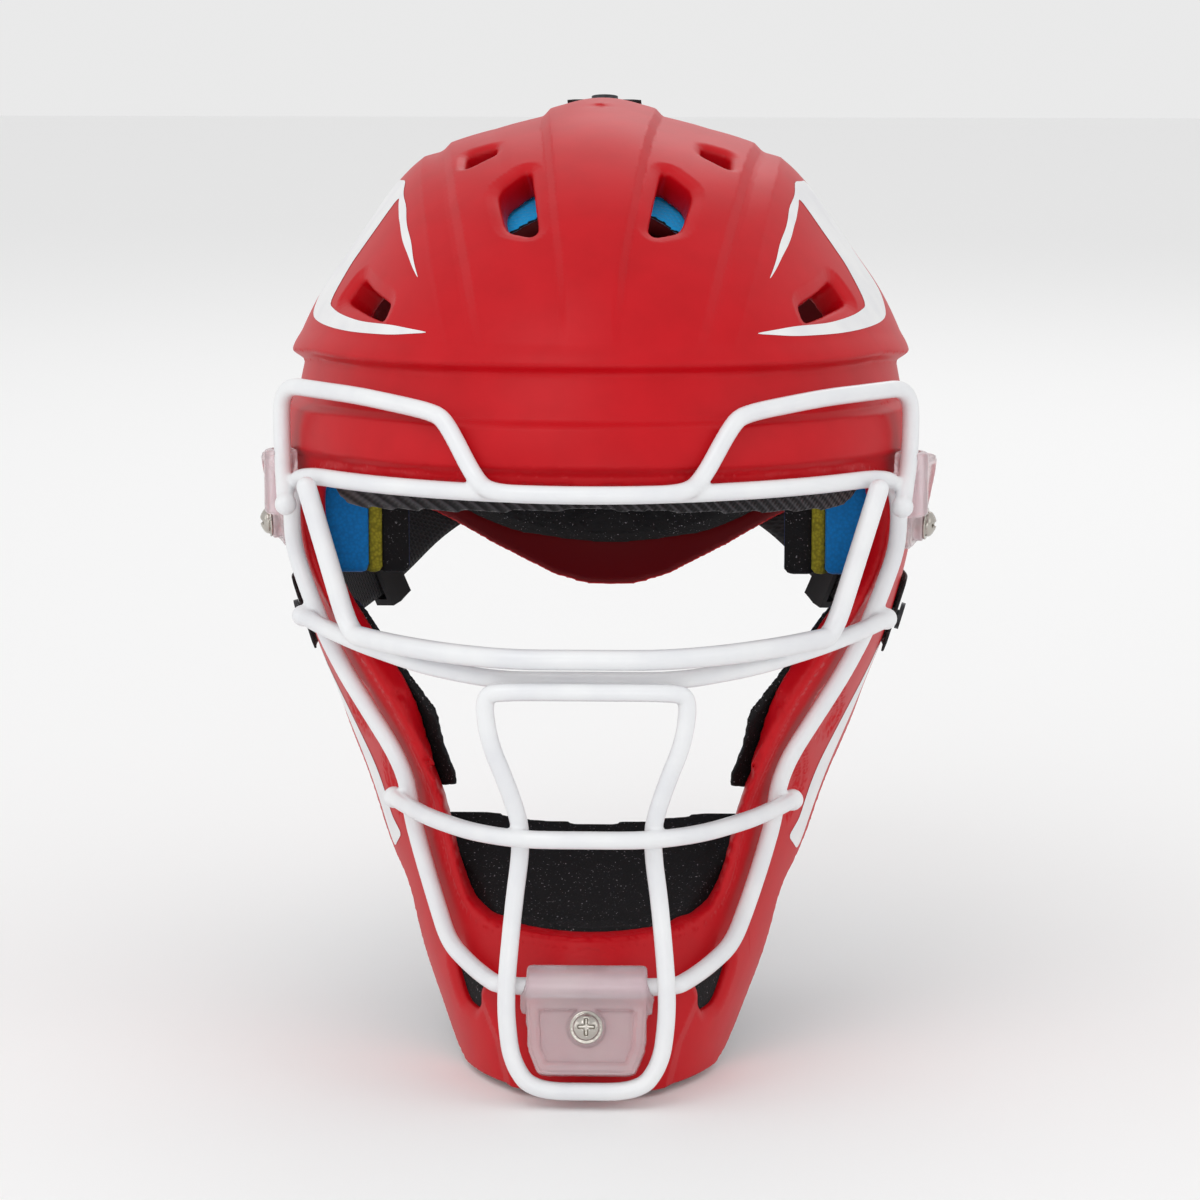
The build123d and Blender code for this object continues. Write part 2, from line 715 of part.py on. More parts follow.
def rivet_pocket(frame):
    depth = shell_wall + rivet_head_height + 3 * seat_gap
    return rod(*frame, rivet_head_diameter + 4 * seat_gap, -depth, 0)


def jaw_pad():
    points = [(deep(y), tall(z)) for y, z in jaw_pad_shares]
    region = side_prism(points, 0, half_width + overrun)
    pad = lining(region, inner_skin() - seat_gap, inner_skin() - jaw_pad_thickness)
    return pad - rivet_pocket(strap_front_frames()[0])


def chin_pad():
    top = [(deep(y), tall(z)) for y, z in chin_scoop_shares]
    under = [(y, z - chin_scoop_thickness) for y, z in reversed(top)]
    scoop = side_prism(top + under) & skin(inner_skin())
    low, high = tall(-0.93), tall(chin_scoop_shares[0][1]) - chin_scoop_thickness / 2
    box = [(deep(-0.55), low), (deep(-0.55), high), (deep(-1.4), high), (deep(-1.4), low)]
    liner = lining(side_prism(box), inner_skin(), inner_skin() - chin_pad_thickness, 0)
    return (scoop + liner) - nut_pocket(chin_screw_frame())


def rear_pad(shares):
    points = [(deep(y), tall(z)) for y, z in shares]
    region = side_prism(points, -half_width * 0.6, half_width * 0.6)
    pad = lining(region, -plate_wall - seat_gap, -plate_wall - seat_gap - rear_pad_thickness)
    for frame in strap_rear_frames():
        pad = pad - rivet_pocket(frame)
    return pad


# Straps and keepers
def lower_strap():
    tip = strap_width / 3
    start, end = deep(lower_strap_shares[0][0]) - tip, deep(lower_strap_shares[-1][0]) + tip
    strap = lining(strap_region(start, end, strap_width / 2), strap_lift + strap_thickness, strap_lift)
    for frame in (strap_front_frames()[0], strap_rear_frames()[0]):
        strap = strap - hole(*frame, rivet_shank_diameter + 2 * fit_gap)
    return strap


def top_strap():
    half = strap_width / 2
    front, back = deep(top_strap_front_share) - half / 2, deep(top_strap_back_share) + half / 2
    region = top_prism([(-half, front), (half, front), (half, back), (-half, back)], crown_height / 3,
                       crown_height + overrun)
    strap = lining(region, strap_lift + strap_thickness, strap_lift)
    for frame in (strap_front_frames()[2], strap_rear_frames()[2]):
        strap = strap - hole(*frame, rivet_shank_diameter + 2 * fit_gap)
    return strap


def strap_region(start, end, half):
    """Right-hand band along the lower strap's line between two places along Y."""
    line = [(deep(y), tall(z)) for y, z in lower_strap_shares]
    inside = [point for point in line if start < point[0] < end]
    line = [(start, strap_height(start))] + inside + [(end, strap_height(end))]
    points = [(y, z + half) for y, z in line] + [(y, z - half) for y, z in reversed(line)]
    return side_prism(points, half_width / 4, half_width + overrun)


def strap_height(y):
    """Height of the lower strap's middle line."""
    line = [(deep(y), tall(z)) for y, z in lower_strap_shares]
    index = max(i for i in range(len(line) - 1) if i == 0 or line[i][0] <= y)
    (y_low, z_low), (y_high, z_high) = line[index], line[index + 1]
    return z_low + (z_high - z_low) * (y - y_low) / (y_high - y_low)


def keeper():
    """Ring round the lower strap just ahead of the rear plate."""
    start, end = keeper_behind - keeper_length / 2, keeper_behind + keeper_length / 2
    top = strap_lift + strap_thickness
    ring = lining(
        strap_region(start, end, strap_width / 2 + keeper_rail),
        top + keeper_window_gap + keeper_rail / 2,
        strap_lift - keeper_window_gap - keeper_rail / 2,
    )
    window = lining(
        strap_region(start - keeper_rail, end + keeper_rail, strap_width / 2 + keeper_window_gap),
        top + keeper_window_gap,
        strap_lift - keeper_window_gap,
    )
    return ring - window


def left(solid):
    return solid.mirror(Plane.YZ)


def build_parts():
    parts = {"front_shell": front_shell(), "rear_plate": rear_plate()}
    parts["cage_perimeter_wire"] = wire_along(perimeter_points(), wire_diameter, closed=True)
    parts["cage_upper_loop"] = wire_along(upper_loop_points(), wire_diameter)
    parts["cage_eye_bar"] = wire_along(eye_bar_points(), eye_bar_diameter)
    cheek = bow(cheek_bar_reach_share, cheek_bar_height_share, cheek_bar_end_shares, cheek_bow_power)
    mouth = bow(mouth_bar_reach_share, mouth_bar_height_share, mouth_bar_end_shares, mouth_bow_power)
    parts["cage_cheek_bar"] = wire_along(cheek, wire_diameter)
    parts["cage_mouth_bar"] = wire_along(mouth, wire_diameter)
    loop = mirrored([place(*shares) for shares in centre_loop_shares])
    parts["cage_centre_loop"] = wire_along(loop, wire_diameter, closed=True)

    clip = side_clip()
    parts["side_clip_right"], parts["side_clip_left"] = clip, left(clip)
    parts["chin_clip"] = chin_clip()
    side_seat = clip_thickness + ring_height + fit_gap
    side = screw(side_screw_frame(), side_seat)
    parts["side_clip_screws"] = Compound([side, left(side)])
    parts["chin_clip_screw"] = screw(chin_screw_frame(), chin_clip_thickness + ring_height + fit_gap)
    side = nut(side_screw_frame(), shell_wall + seat_gap)
    parts["side_clip_nuts"] = Compound([side, left(side)])
    parts["chin_clip_nut"] = nut(chin_screw_frame(), shell_wall + chin_nut_gap)

    parts["forehead_pad"] = forehead_pad()
    pad = crown_pad()
    parts["crown_pad_right"], parts["crown_pad_left"] = pad, left(pad)
    parts["crown_pad_rear"] = crown_pad_rear()
    for name, pad in zip(("black", "yellow", "blue"), side_pad_layers()):
        parts[f"side_pad_{name}_right"], parts[f"side_pad_{name}_left"] = pad, left(pad)
    pad = jaw_pad()
    parts["jaw_pad_right"], parts["jaw_pad_left"] = pad, left(pad)
    parts["chin_pad"] = chin_pad()
    parts["rear_pad_upper"] = rear_pad(upper_rear_pad_shares)
    parts["rear_pad_lower"] = rear_pad(lower_rear_pad_shares)

    strap = lower_strap()
    parts["lower_strap_right"], parts["lower_strap_left"] = strap, left(strap)
    parts["top_strap"] = top_strap()
    ring = keeper()
    parts["lower_keeper_right"], parts["lower_keeper_left"] = ring, left(ring)
    parts["shell_rivets"] = Compound([rivet(frame, shell_wall) for frame in strap_front_frames()])
    parts["plate_rivets"] = Compound([rivet(frame, plate_wall) for frame in strap_rear_frames()])
    return parts


def main():
    os.makedirs("parts", exist_ok=True)
    for name, shape in build_parts().items():
        export_step(shape, f"parts/{name}.step")


if __name__ == "__main__":
    main()
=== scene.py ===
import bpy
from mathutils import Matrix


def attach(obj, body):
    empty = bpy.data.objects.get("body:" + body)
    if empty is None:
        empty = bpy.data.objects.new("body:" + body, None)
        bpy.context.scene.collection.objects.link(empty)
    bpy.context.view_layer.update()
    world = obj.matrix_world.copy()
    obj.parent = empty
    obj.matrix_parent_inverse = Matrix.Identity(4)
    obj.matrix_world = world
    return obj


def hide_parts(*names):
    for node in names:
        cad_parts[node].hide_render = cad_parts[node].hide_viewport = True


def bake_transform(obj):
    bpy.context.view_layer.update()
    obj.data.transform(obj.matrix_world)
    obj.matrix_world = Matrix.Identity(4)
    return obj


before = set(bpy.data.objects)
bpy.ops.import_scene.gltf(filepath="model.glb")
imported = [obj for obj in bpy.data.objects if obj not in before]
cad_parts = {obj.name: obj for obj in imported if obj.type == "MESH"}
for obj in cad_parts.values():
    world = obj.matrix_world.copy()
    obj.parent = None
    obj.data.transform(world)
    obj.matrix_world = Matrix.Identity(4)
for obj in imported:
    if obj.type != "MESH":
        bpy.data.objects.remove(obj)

"""Looks of the baseball catcher helmet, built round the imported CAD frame.

Lengths in this file are millimetres until a mesh is made, which is in metres.
"""

import logging
import math
from collections.abc import Callable, Iterable, Sequence
from dataclasses import dataclass, field
from enum import Enum

import bpy
import numpy as np
import openvdb
from mathutils import Vector
from mathutils.geometry import delaunay_2d_cdt

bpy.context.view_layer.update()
LOG = logging.getLogger("helmet")
METRE = 0.001
FAR = 40
Array = np.ndarray
Field = Callable[[Array, Array, Array], Array]
Pair = tuple[float, float]
Spot = tuple[float, float, float]
Socket = bpy.types.NodeSocket
Piece = bpy.types.Object
Line = tuple[Pair, ...]
Route = tuple[Spot, ...]


# Distance fields
def smooth_max(a: Array, b: Array, blend: float) -> Array:
    """Larger of two fields, rounded where they cross."""
    gap = np.maximum(blend - np.abs(a - b), 0) / blend
    return np.maximum(a, b) + gap * gap * blend * 0.25


def smooth_min(a: Array, b: Array, blend: float) -> Array:
    """Smaller of two fields, filleted where they cross."""
    return -smooth_max(-a, -b, blend)


def ramp(start: float | Array, end: float | Array, value: Array) -> Array:
    """Smooth step from 0 at start to 1 at end."""
    part = np.clip((value - start) / (end - start), 0, 1)
    return part * part * (3 - 2 * part)


def bump(value: Array) -> Array:
    """1 at zero, 0 beyond one."""
    part = np.clip(np.abs(value), 0, 1)
    return (1 - part * part) ** 2


def along(value: Array, points: Sequence[Pair]) -> Array:
    """Second column of a table looked up by its first."""
    rows = sorted(points)
    return np.interp(value, [row[0] for row in rows], [row[1] for row in rows])


def polygon_distance(u: Array, v: Array, outline: Array, far: float = FAR) -> Array:
    """Signed distance to a closed outline, negative inside, cut off at far.

    Where far is a whole number, the distance comes out in whole millimetres too.
    """
    points = np.asarray(outline, float)
    result = np.full(u.shape, far)
    low, high = points.min(0) - far, points.max(0) + far
    near = (u > low[0]) & (u < high[0]) & (v > low[1]) & (v < high[1])
    if not near.any():
        return result
    a, b = u[near], v[near]
    best = np.full(a.shape, far * far)
    inside = np.zeros(a.shape, bool)
    for (x0, y0), (x1, y1) in zip(points, np.roll(points, -1, axis=0)):
        dx, dy = x1 - x0, y1 - y0
        square = dx * dx + dy * dy
        if square < 1e-12:
            continue
        part = np.clip(((a - x0) * dx + (b - y0) * dy) / square, 0, 1)
        best = np.minimum(best, (a - x0 - part * dx) ** 2 + (b - y0 - part * dy) ** 2)
        if dy:
            inside ^= ((y0 > b) != (y1 > b)) & (a < x0 + (b - y0) * dx / dy)
    root = np.sqrt(best)
    result[near] = np.where(inside, -root, root)
    return result


def rounded(
    points: Sequence[Sequence[float]],
    steps: int = 4,
    closed: bool = True,
    share: float = 0.35,
    most: float = math.inf,
) -> Array:
    """Outline with its corners turned into curves.

    Args:
        points: corners in order.
        steps: points per corner.
        closed: whether the last corner joins the first.
        share: how much of each run a corner takes.
        most: the longest stretch of a run that it takes.

    Returns:
        The rounded outline.
    """
    corners = [np.array(point, float) for point in points]
    result = []
    for index, corner in enumerate(corners):
        if not closed and index in (0, len(corners) - 1):
            result.append(corner)
            continue
        before, after = corners[index - 1], corners[(index + 1) % len(corners)]
        start, end = [
            corner + (other - corner) * min(share, most / max(np.linalg.norm(other - corner), 1e-9))
            for other in (before, after)
        ]
        for t in np.linspace(0, 1, steps):
            result.append((1 - t) ** 2 * start + 2 * t * (1 - t) * corner + t * t * end)
    return np.array(result)


class Skin:
    """The helmet's outer form as a distance field, from rows of half-superellipses."""

    # height, half width, front, rear, widest place, fullness ahead, fullness behind
    ROWS = (
        (136, 10, -6, 36, 18, 2, 2), (133, 20.5, -24, 49, 17, 2, 2), (130, 31, -36, 58, 16, 2, 2),
        (127, 41, -45, 65, 15, 2, 2), (123, 51.5, -55, 72.5, 14, 2, 2), (118, 60.5, -66, 80.5, 13, 2, 2),
        (112, 67, -77, 88.5, 12, 2, 2), (99, 77, -94, 101.5, 10, 2, 2), (88, 85, -105, 110, 8, 2, 2.05),
        (77, 92.8, -113.5, 116, 5, 2, 2.1), (66, 98.5, -119.5, 120.5, 2, 2, 2.1),
        (57, 102, -123.5, 124, -2, 2, 2.1), (48, 103.5, -127.5, 126, -5, 2, 2.1),
        (38, 104.8, -131, 127.5, -8, 2, 2.1), (25, 105, -132, 128, -10, 2, 2.1),
        (10, 104.6, -132.5, 128.5, -10, 2, 2.1), (-5, 103.2, -133, 128.5, -10, 2, 2.1),
        (-20, 99.8, -133, 127, -10, 1.95, 2.1), (-35, 95.3, -133, 123, -10, 1.9, 2.1),
        (-57, 87.3, -131.5, 112, -10, 1.75, 2.1), (-75, 82, -130, 100, -10, 1.64, 2.1),
        (-101, 73.4, -128.5, 70, -17, 1.7, 2.1), (-113, 67.5, -130.5, 50, -24, 1.75, 2.1),
        (-121, 64, -137, 36, -31, 1.8, 2.1), (-130, 59.5, -144, 20, -38, 1.9, 2.1),
        (-146, 51.5, -149, -5, -50, 2.05, 2.1), (-162, 45, -146, -30, -60, 2.2, 2.1),
    )
    TOP = 137.5
    DOME = 136.0
    LOWEST = math.radians(-88)
    STEP = math.radians(0.5)
    LEVEL = 0.25
    SEARCH = (20.0, 280.0)
    HALVINGS = 22
    BLUR = 2.5
    BLUR_REACH = 8

    def __init__(self) -> None:
        """Tabulates the rows and the reach in every direction."""
        rows = np.array(sorted(self.ROWS), float)
        z = rows[:, 0]
        self.z = np.arange(z[0], z[-1] + self.LEVEL / 2, self.LEVEL)
        low = np.clip(np.searchsorted(z, self.z, side="right") - 1, 0, len(z) - 2)
        span = z[low + 1] - z[low]
        t = (self.z - z[low]) / span
        self.columns = []
        for values in rows.T[1:]:
            slope = np.gradient(values, z)
            self.columns.append(
                (2 * t**3 - 3 * t**2 + 1) * values[low] + (t**3 - 2 * t**2 + t) * slope[low] * span
                + (3 * t**2 - 2 * t**3) * values[low + 1] + (t**3 - t**2) * slope[low + 1] * span
            )
        self._tabulate()

    def level(self, x: Array, y: Array, z: Array) -> Array:
        """Negative inside the form, positive outside."""
        height = np.clip(z, self.z[0], self.z[-1])
        width, front, rear, middle, ahead, behind = [np.interp(height, self.z, c) for c in self.columns]
        dome = np.sqrt(np.clip((self.TOP - z) / (self.TOP - self.DOME), 0, 1))
        size = np.where(z > self.DOME, dome, 1.0) + 1e-6
        dy = y - middle
        reach = np.where(dy < 0, middle - front, rear - middle) * size
        power = np.where(dy < 0, ahead, behind)
        return (np.abs(x) / (width * size)) ** power + (np.abs(dy) / reach) ** power - 1

    def _tabulate(self) -> None:
        """Finds the reach from the origin in each direction, and how square the form meets it."""
        turns = int(round(math.tau / self.STEP))
        self.rises = int(round(2 * abs(self.LOWEST) / self.STEP)) + 1
        rise, turn = np.meshgrid(
            self.LOWEST + np.arange(self.rises) * self.STEP, np.arange(turns) * self.STEP, indexing="ij"
        )
        dx, dy, dz = np.cos(rise) * np.cos(turn), np.cos(rise) * np.sin(turn), np.sin(rise)
        near, far = [np.full(rise.shape, reach) for reach in self.SEARCH]
        for _ in range(self.HALVINGS):
            middle = (near + far) / 2
            inside = self.level(dx * middle, dy * middle, dz * middle) < 0
            near, far = np.where(inside, middle, near), np.where(inside, far, middle)
        reach = self._blur(self._blur((near + far) / 2, 0), 1)
        by_rise = np.gradient(reach, self.STEP, axis=0)
        by_turn = np.gradient(np.pad(reach, ((0, 0), (2, 2)), mode="wrap"), self.STEP, axis=1)[:, 2:-2]
        flat = np.maximum(np.cos(rise), 0.02)
        square = 1 / np.sqrt(1 + (by_rise / reach) ** 2 + (by_turn / (reach * flat)) ** 2)
        self.turns = turns
        self.reach, self.square = self._padded(reach), self._padded(square)

    @classmethod
    def _blur(cls, table: Array, axis: int) -> Array:
        """Evens out a table along one axis."""
        half = cls.BLUR_REACH
        weights = np.exp(-0.5 * (np.arange(-half, half + 1) / cls.BLUR) ** 2)
        padding = [(half, half) if i == axis else (0, 0) for i in (0, 1)]
        padded = np.pad(table, padding, mode="wrap" if axis else "edge")
        result = np.zeros_like(table)
        for index, weight in enumerate(weights / weights.sum()):
            window = [slice(None), slice(None)]
            window[axis] = slice(index, index + table.shape[axis])
            result += weight * padded[tuple(window)]
        return result

    @staticmethod
    def _padded(table: Array) -> Array:
        """Table with two more rows and columns on each side."""
        return np.pad(np.pad(table, ((2, 2), (0, 0)), mode="edge"), ((0, 0), (2, 2)), mode="wrap")

    def distance(self, x: Array, y: Array, z: Array) -> Array:
        """Distance outward from the skin in millimetres."""
        radius = np.sqrt(x * x + y * y + z * z) + 1e-9
        u = np.clip((np.arcsin(np.clip(z / radius, -1, 1)) - self.LOWEST) / self.STEP, 0, self.rises - 1.001)
        v = (np.arctan2(y, x) % math.tau) / self.STEP
        iu, iv = u.astype(np.int32), v.astype(np.int32) % self.turns
        fu, fv = u - iu, v - np.floor(v)

        def weights(t: Array) -> tuple[Array, ...]:
            """Weights of a smooth curve through four samples."""
            return (-0.5 * t + t * t - 0.5 * t**3, 1 - 2.5 * t * t + 1.5 * t**3,
                    0.5 * t + 2 * t * t - 1.5 * t**3, -0.5 * t * t + 0.5 * t**3)

        wu, wv = weights(fu), weights(fv)
        width = self.reach.shape[1]
        table = self.reach.ravel()
        base = (iu + 1) * width + iv + 1
        reach = sum(wu[a] * sum(wv[b] * table[base + a * width + b] for b in range(4)) for a in range(4))
        table, base = self.square.ravel(), (iu + 2) * width + iv + 2
        low = (1 - fv) * table[base] + fv * table[base + 1]
        high = (1 - fv) * table[base + width] + fv * table[base + width + 1]
        return (radius - reach) * ((1 - fu) * low + fu * high)

    def at(self, x: float, y: float, z: float) -> float:
        """Distance of one point."""
        return float(self.distance(np.array([x]), np.array([y]), np.array([z]))[0])

    def normal(self, point: Array) -> Array:
        """Outward direction at a point."""
        step = 0.5 * np.eye(3)
        slope = np.array([self.at(*(point + s)) - self.at(*(point - s)) for s in step])
        return slope / np.linalg.norm(slope)

    def along_line(self, start: Sequence[float], end: Sequence[float]) -> Array:
        """First point of a line, from outside, that meets the skin."""
        line = np.linspace(np.array(start, float), np.array(end, float), 2400)
        return line[int(np.argmax(self.distance(*line.T) < 0))]

    def from_top(self, x: float, y: float) -> Array:
        """Point of the skin under a place seen from above."""
        return self.along_line((x, y, 145), (x, y, 10))

    def from_front(self, x: float, z: float) -> Array:
        """Point of the skin behind a place seen from the front."""
        return self.along_line((x, -170, z), (x, 0, z))

    def from_back(self, x: float, z: float) -> Array:
        """Point of the skin behind a place seen from the back."""
        return self.along_line((x, 150, z), (x, 0, z))


@dataclass(frozen=True)
class Solid:
    """A field and the box that it lies in."""

    name: str
    inside: Field
    low: Spot
    high: Spot
    voxel: float = 1.2
    rough: Field | None = None


@dataclass(frozen=True)
class Sculpting:
    """How a field becomes a mesh.

    Args:
        block: voxels along one side of a block that is filled in or left out as a whole.
        near_share: share of a block's side within which its middle may lie off the surface.
        near_more: further distance that it may lie off.
        band: voxels on each side of the surface whose distance counts.
        batch: places worked out at a time.
        rounds: how often the vertices are pulled back onto the surface.
        relax: how far each one first moves to the middle of its neighbours.
        probe: step that a slope is taken over while they are pulled.
        least_slope: flattest slope that is trusted, squared.
        longest_pull: of a vertex at once, in voxels.
        normal_probe: half the step that a normal is taken over.
    """

    block: int = 4
    coarser: float = 2.0
    near_share: float = 0.9
    near_more: float = 0.8
    band: float = 3.0
    batch: int = 400000
    rounds: int = 4
    relax: float = 0.5
    probe: float = 0.12
    least_slope: float = 0.3
    longest_pull: float = 0.7
    normal_probe: float = 0.25

    def _cells(self, solid: Solid, voxel: float) -> Array:
        """Distances at the voxels of the solid's box, exact near its surface."""
        low, cell = np.array(solid.low, float), voxel * self.block
        counts = np.ceil((np.array(solid.high) - low) / cell).astype(int) + 1
        centres = [low[k] + (np.arange(counts[k]) + 0.5) * cell for k in range(3)]
        grid = np.meshgrid(*centres, indexing="ij")
        rough = (solid.rough or solid.inside)(*[axis.ravel() for axis in grid]).reshape(grid[0].shape)
        active = np.argwhere(np.abs(rough) < cell * self.near_share + self.near_more)
        steps = np.stack(np.meshgrid(*[np.arange(self.block)] * 3, indexing="ij"), -1).reshape(-1, 3)
        cells = (active[:, None, :] * self.block + steps[None]).reshape(-1, 3)
        places = low + (cells + 0.5) * voxel
        batches = np.array_split(places, len(places) // self.batch + 1)
        values = np.concatenate([solid.inside(*part.T) for part in batches])
        limit = self.band * voxel
        filled = np.where(rough > 0, limit, -limit).astype(np.float32)
        for axis in range(3):
            filled = np.repeat(filled, self.block, axis)
        filled[tuple(cells.T)] = np.clip(values, -limit, limit)
        return filled

    def _pulled(self, solid: Solid, points: Array, voxel: float) -> Array:
        """Vertices moved onto the surface along its slope."""
        here, step = solid.inside(*points.T), self.probe
        slope = np.stack([(solid.inside(*(points + row).T) - here) / step for row in np.eye(3) * step], 1)
        move = here / np.maximum((slope**2).sum(1), self.least_slope)
        longest = voxel * self.longest_pull
        return points - np.clip(move, -longest, longest)[:, None] * slope

    def _normals(self, solid: Solid, points: Array) -> Array:
        """The field's directions at the vertices."""
        rows = np.eye(3) * self.normal_probe
        slope = [solid.inside(*(points + row).T) - solid.inside(*(points - row).T) for row in rows]
        return unit(np.stack(slope, 1))

    def surface(self, solid: Solid) -> Piece:
        """Turns a field into a smooth mesh.

        Args:
            solid: the field, its box and its voxel.

        Returns:
            The new object, its normals taken from the field.
        """
        voxel = solid.voxel * 1.0
        vdb = openvdb.FloatGrid(self.band * voxel)
        vdb.copyFromArray(self._cells(solid, voxel))
        points, _, quads = vdb.convertToPolygons(isovalue=0.0)
        points = np.array(solid.low, float) + (np.asarray(points, float) + 0.5) * voxel
        quads = np.asarray(quads)
        ties = Ties(quads, len(points))
        for again in range(self.rounds):
            if again:
                points = points + self.relax * (ties.around(points) - points)
            points = self._pulled(solid, points, voxel)
        points, normals = Calming().apply(points, ties, self._normals(solid, points))
        LOG.info("%s: %d faces", solid.name, len(quads))
        return mesh_object(solid.name, points, quads, normals)


def surface(solid: Solid) -> Piece:
    """Turns a field into a smooth mesh."""
    return Sculpting().surface(solid)


class Ties:
    """Which vertices of a mesh are joined by edges."""

    def __init__(self, quads: Array, count: int) -> None:
        """Counts the neighbours of each vertex."""
        self.quads, self.count = quads, count
        self.ends = np.concatenate([quads[:, k] for k in range(4)])
        self.others = np.concatenate([quads[:, (k + 1) % 4] for k in range(4)])
        both = np.bincount(self.ends, minlength=count) + np.bincount(self.others, minlength=count)
        self.share = np.maximum(both, 1)[:, None]

    def around(self, values: Array) -> Array:
        """Mean of the neighbours' values."""
        columns = [
            np.bincount(self.ends, values[self.others, k], self.count)
            + np.bincount(self.others, values[self.ends, k], self.count)
            for k in range(values.shape[1])
        ]
        return np.stack(columns, 1) / self.share


def unit(rows: Array) -> Array:
    """Rows scaled to a length of one."""
    return rows / np.maximum(np.linalg.norm(rows, axis=1), 1e-9)[:, None]


def mesh_normals(points: Array, quads: Array) -> Array:
    """Area-weighted normals of a mesh's vertices."""
    across = np.cross(points[quads[:, 2]] - points[quads[:, 0]], points[quads[:, 3]] - points[quads[:, 1]])
    total = np.zeros_like(points)
    for k in range(3):
        total[:, k] = sum(np.bincount(quads[:, c], across[:, k], len(points)) for c in range(4))
    return unit(total)


@dataclass(frozen=True)
class Calming:
    """Evens out a mesh along its thin edges, where a field can't say which way is out.

    Args:
        rounds: number of smoothing steps, each one in and one out, so that an edge keeps its height.
        moves: how far a vertex moves to the middle of its neighbours and back.
        unsure: agreement of the mesh's and the field's directions, where smoothing starts and is full.
        turn: the same for how alike the directions of neighbours are.
        spread: how much the smoothed zone grows.
    """

    rounds: int = 12
    moves: tuple[float, float] = (0.6, -0.63)
    unsure: tuple[float, float] = (0.97, 0.86)
    turn: tuple[float, float] = (0.97, 0.84)
    spread: float = 1.6

    @staticmethod
    def _own_normals(points: Array, ties: Ties, normals: Array) -> Array:
        """The mesh's own directions, pointing the way that the field's do."""
        own = mesh_normals(points, ties.quads)
        return -own if (own * normals).sum() < 0 else own

    def apply(self, points: Array, ties: Ties, normals: Array) -> tuple[Array, Array]:
        """Smooths the edges.

        Args:
            points: vertices.
            ties: which of them are joined.
            normals: the field's directions at the vertices.

        Returns:
            The vertices and their normals.
        """
        own = self._own_normals(points, ties, normals)
        unsure = ramp(*self.unsure, (own * normals).sum(1))[:, None]
        turn = ramp(*self.turn, np.linalg.norm(ties.around(own), axis=1))[:, None]
        weight = np.clip(ties.around(np.maximum(unsure, turn)) * self.spread, 0, 1)
        for _ in range(self.rounds):
            for share in self.moves:
                points = points + share * weight * (ties.around(points) - points)
        own = self._own_normals(points, ties, normals)
        return points, unit(normals * (1 - weight) + own * weight)


def mesh_object(name: str, points: Array, faces: Array, normals: Array | None = None) -> Piece:
    """Object from points in millimetres and faces of one size.

    Args:
        name: name of the object and its mesh.
        points: places of the vertices.
        faces: vertex numbers, one row each.
        normals: direction at each vertex, or None for plain smooth shading.

    Returns:
        The linked object.
    """
    mesh = bpy.data.meshes.new(name)
    mesh.vertices.add(len(points))
    mesh.vertices.foreach_set("co", (points * METRE).ravel())
    mesh.loops.add(faces.size)
    mesh.loops.foreach_set("vertex_index", faces.ravel().astype(np.int32))
    mesh.polygons.add(len(faces))
    mesh.polygons.foreach_set("loop_start", np.arange(0, faces.size, faces.shape[1], dtype=np.int32))
    mesh.update(calc_edges=True)
    mesh.polygons.foreach_set("use_smooth", np.ones(len(faces), bool))
    if normals is not None:
        first = mesh.polygons[0]
        if first.normal.dot(Vector(normals[faces[0][0]])) < 0:
            mesh.flip_normals()
        mesh.normals_split_custom_set_from_vertices(normals.tolist())
    thing = bpy.data.objects.new(name, mesh)
    bpy.context.scene.collection.objects.link(thing)
    return thing


# Finishes
class Texture(Enum):
    """Small-scale structure of a finish."""

    GRAIN = "moulded grain"
    POWDER = "powder coat"
    FROST = "frosted clear plastic"
    METAL = "plated metal"
    RIBS = "diagonal rib knit"
    KNIT = "brushed knit"
    CELLS = "open foam"
    SPECKLE = "speckled foam"
    WEAVE = "webbing"
    PAINT = "printed stripe"


@dataclass(frozen=True)
class Finish:
    """A procedural material.

    Args:
        name: material name.
        colour: main colour, sRGB from 0 to 1.
        texture: its small-scale structure.
        second: colour of flecks, ribs or wear.
        roughness: shader roughness.
        pitch: size of the structure in millimetres.
        relief: bump height in millimetres.
        metallic: shader metallic.
        clear: shader transmission.
        sheen: shader sheen.
        coat: shader coat.
        gloss: shader specular level.
        head_side_colour_and_painted_shade: colour of the face that looks at the head, where it differs; on
            the pads their own blue, on the rear plate a darker red that is painted shade for its shadowed
            inside.
        shell_side_colour_and_painted_light: colour of the face that looks at the shell, where it differs; on
            the crown pads their blue made lighter than on the head side, as painted light for faces that lie
            in shade behind the vents.
    """

    name: str
    colour: Spot
    texture: Texture
    second: Spot
    roughness: float = 0.5
    pitch: float = 1.0
    relief: float = 0.05
    metallic: float = 0.0
    clear: float = 0.0
    sheen: float = 0.0
    coat: float = 0.0
    gloss: float = 0.5
    head_side_colour_and_painted_shade: Spot | None = None
    shell_side_colour_and_painted_light: Spot | None = None

    def material(self) -> bpy.types.Material:
        """Makes the material, or returns it if it was made before."""
        known = bpy.data.materials.get(f"{self.name}_finish")
        return known or Nodes(self).material


def linear(colour: Sequence[float]) -> tuple[float, float, float, float]:
    """sRGB to the shader's linear colour."""
    parts = [c / 12.92 if c <= 0.04045 else ((c + 0.055) / 1.055) ** 2.4 for c in colour]
    return (*parts, 1.0)


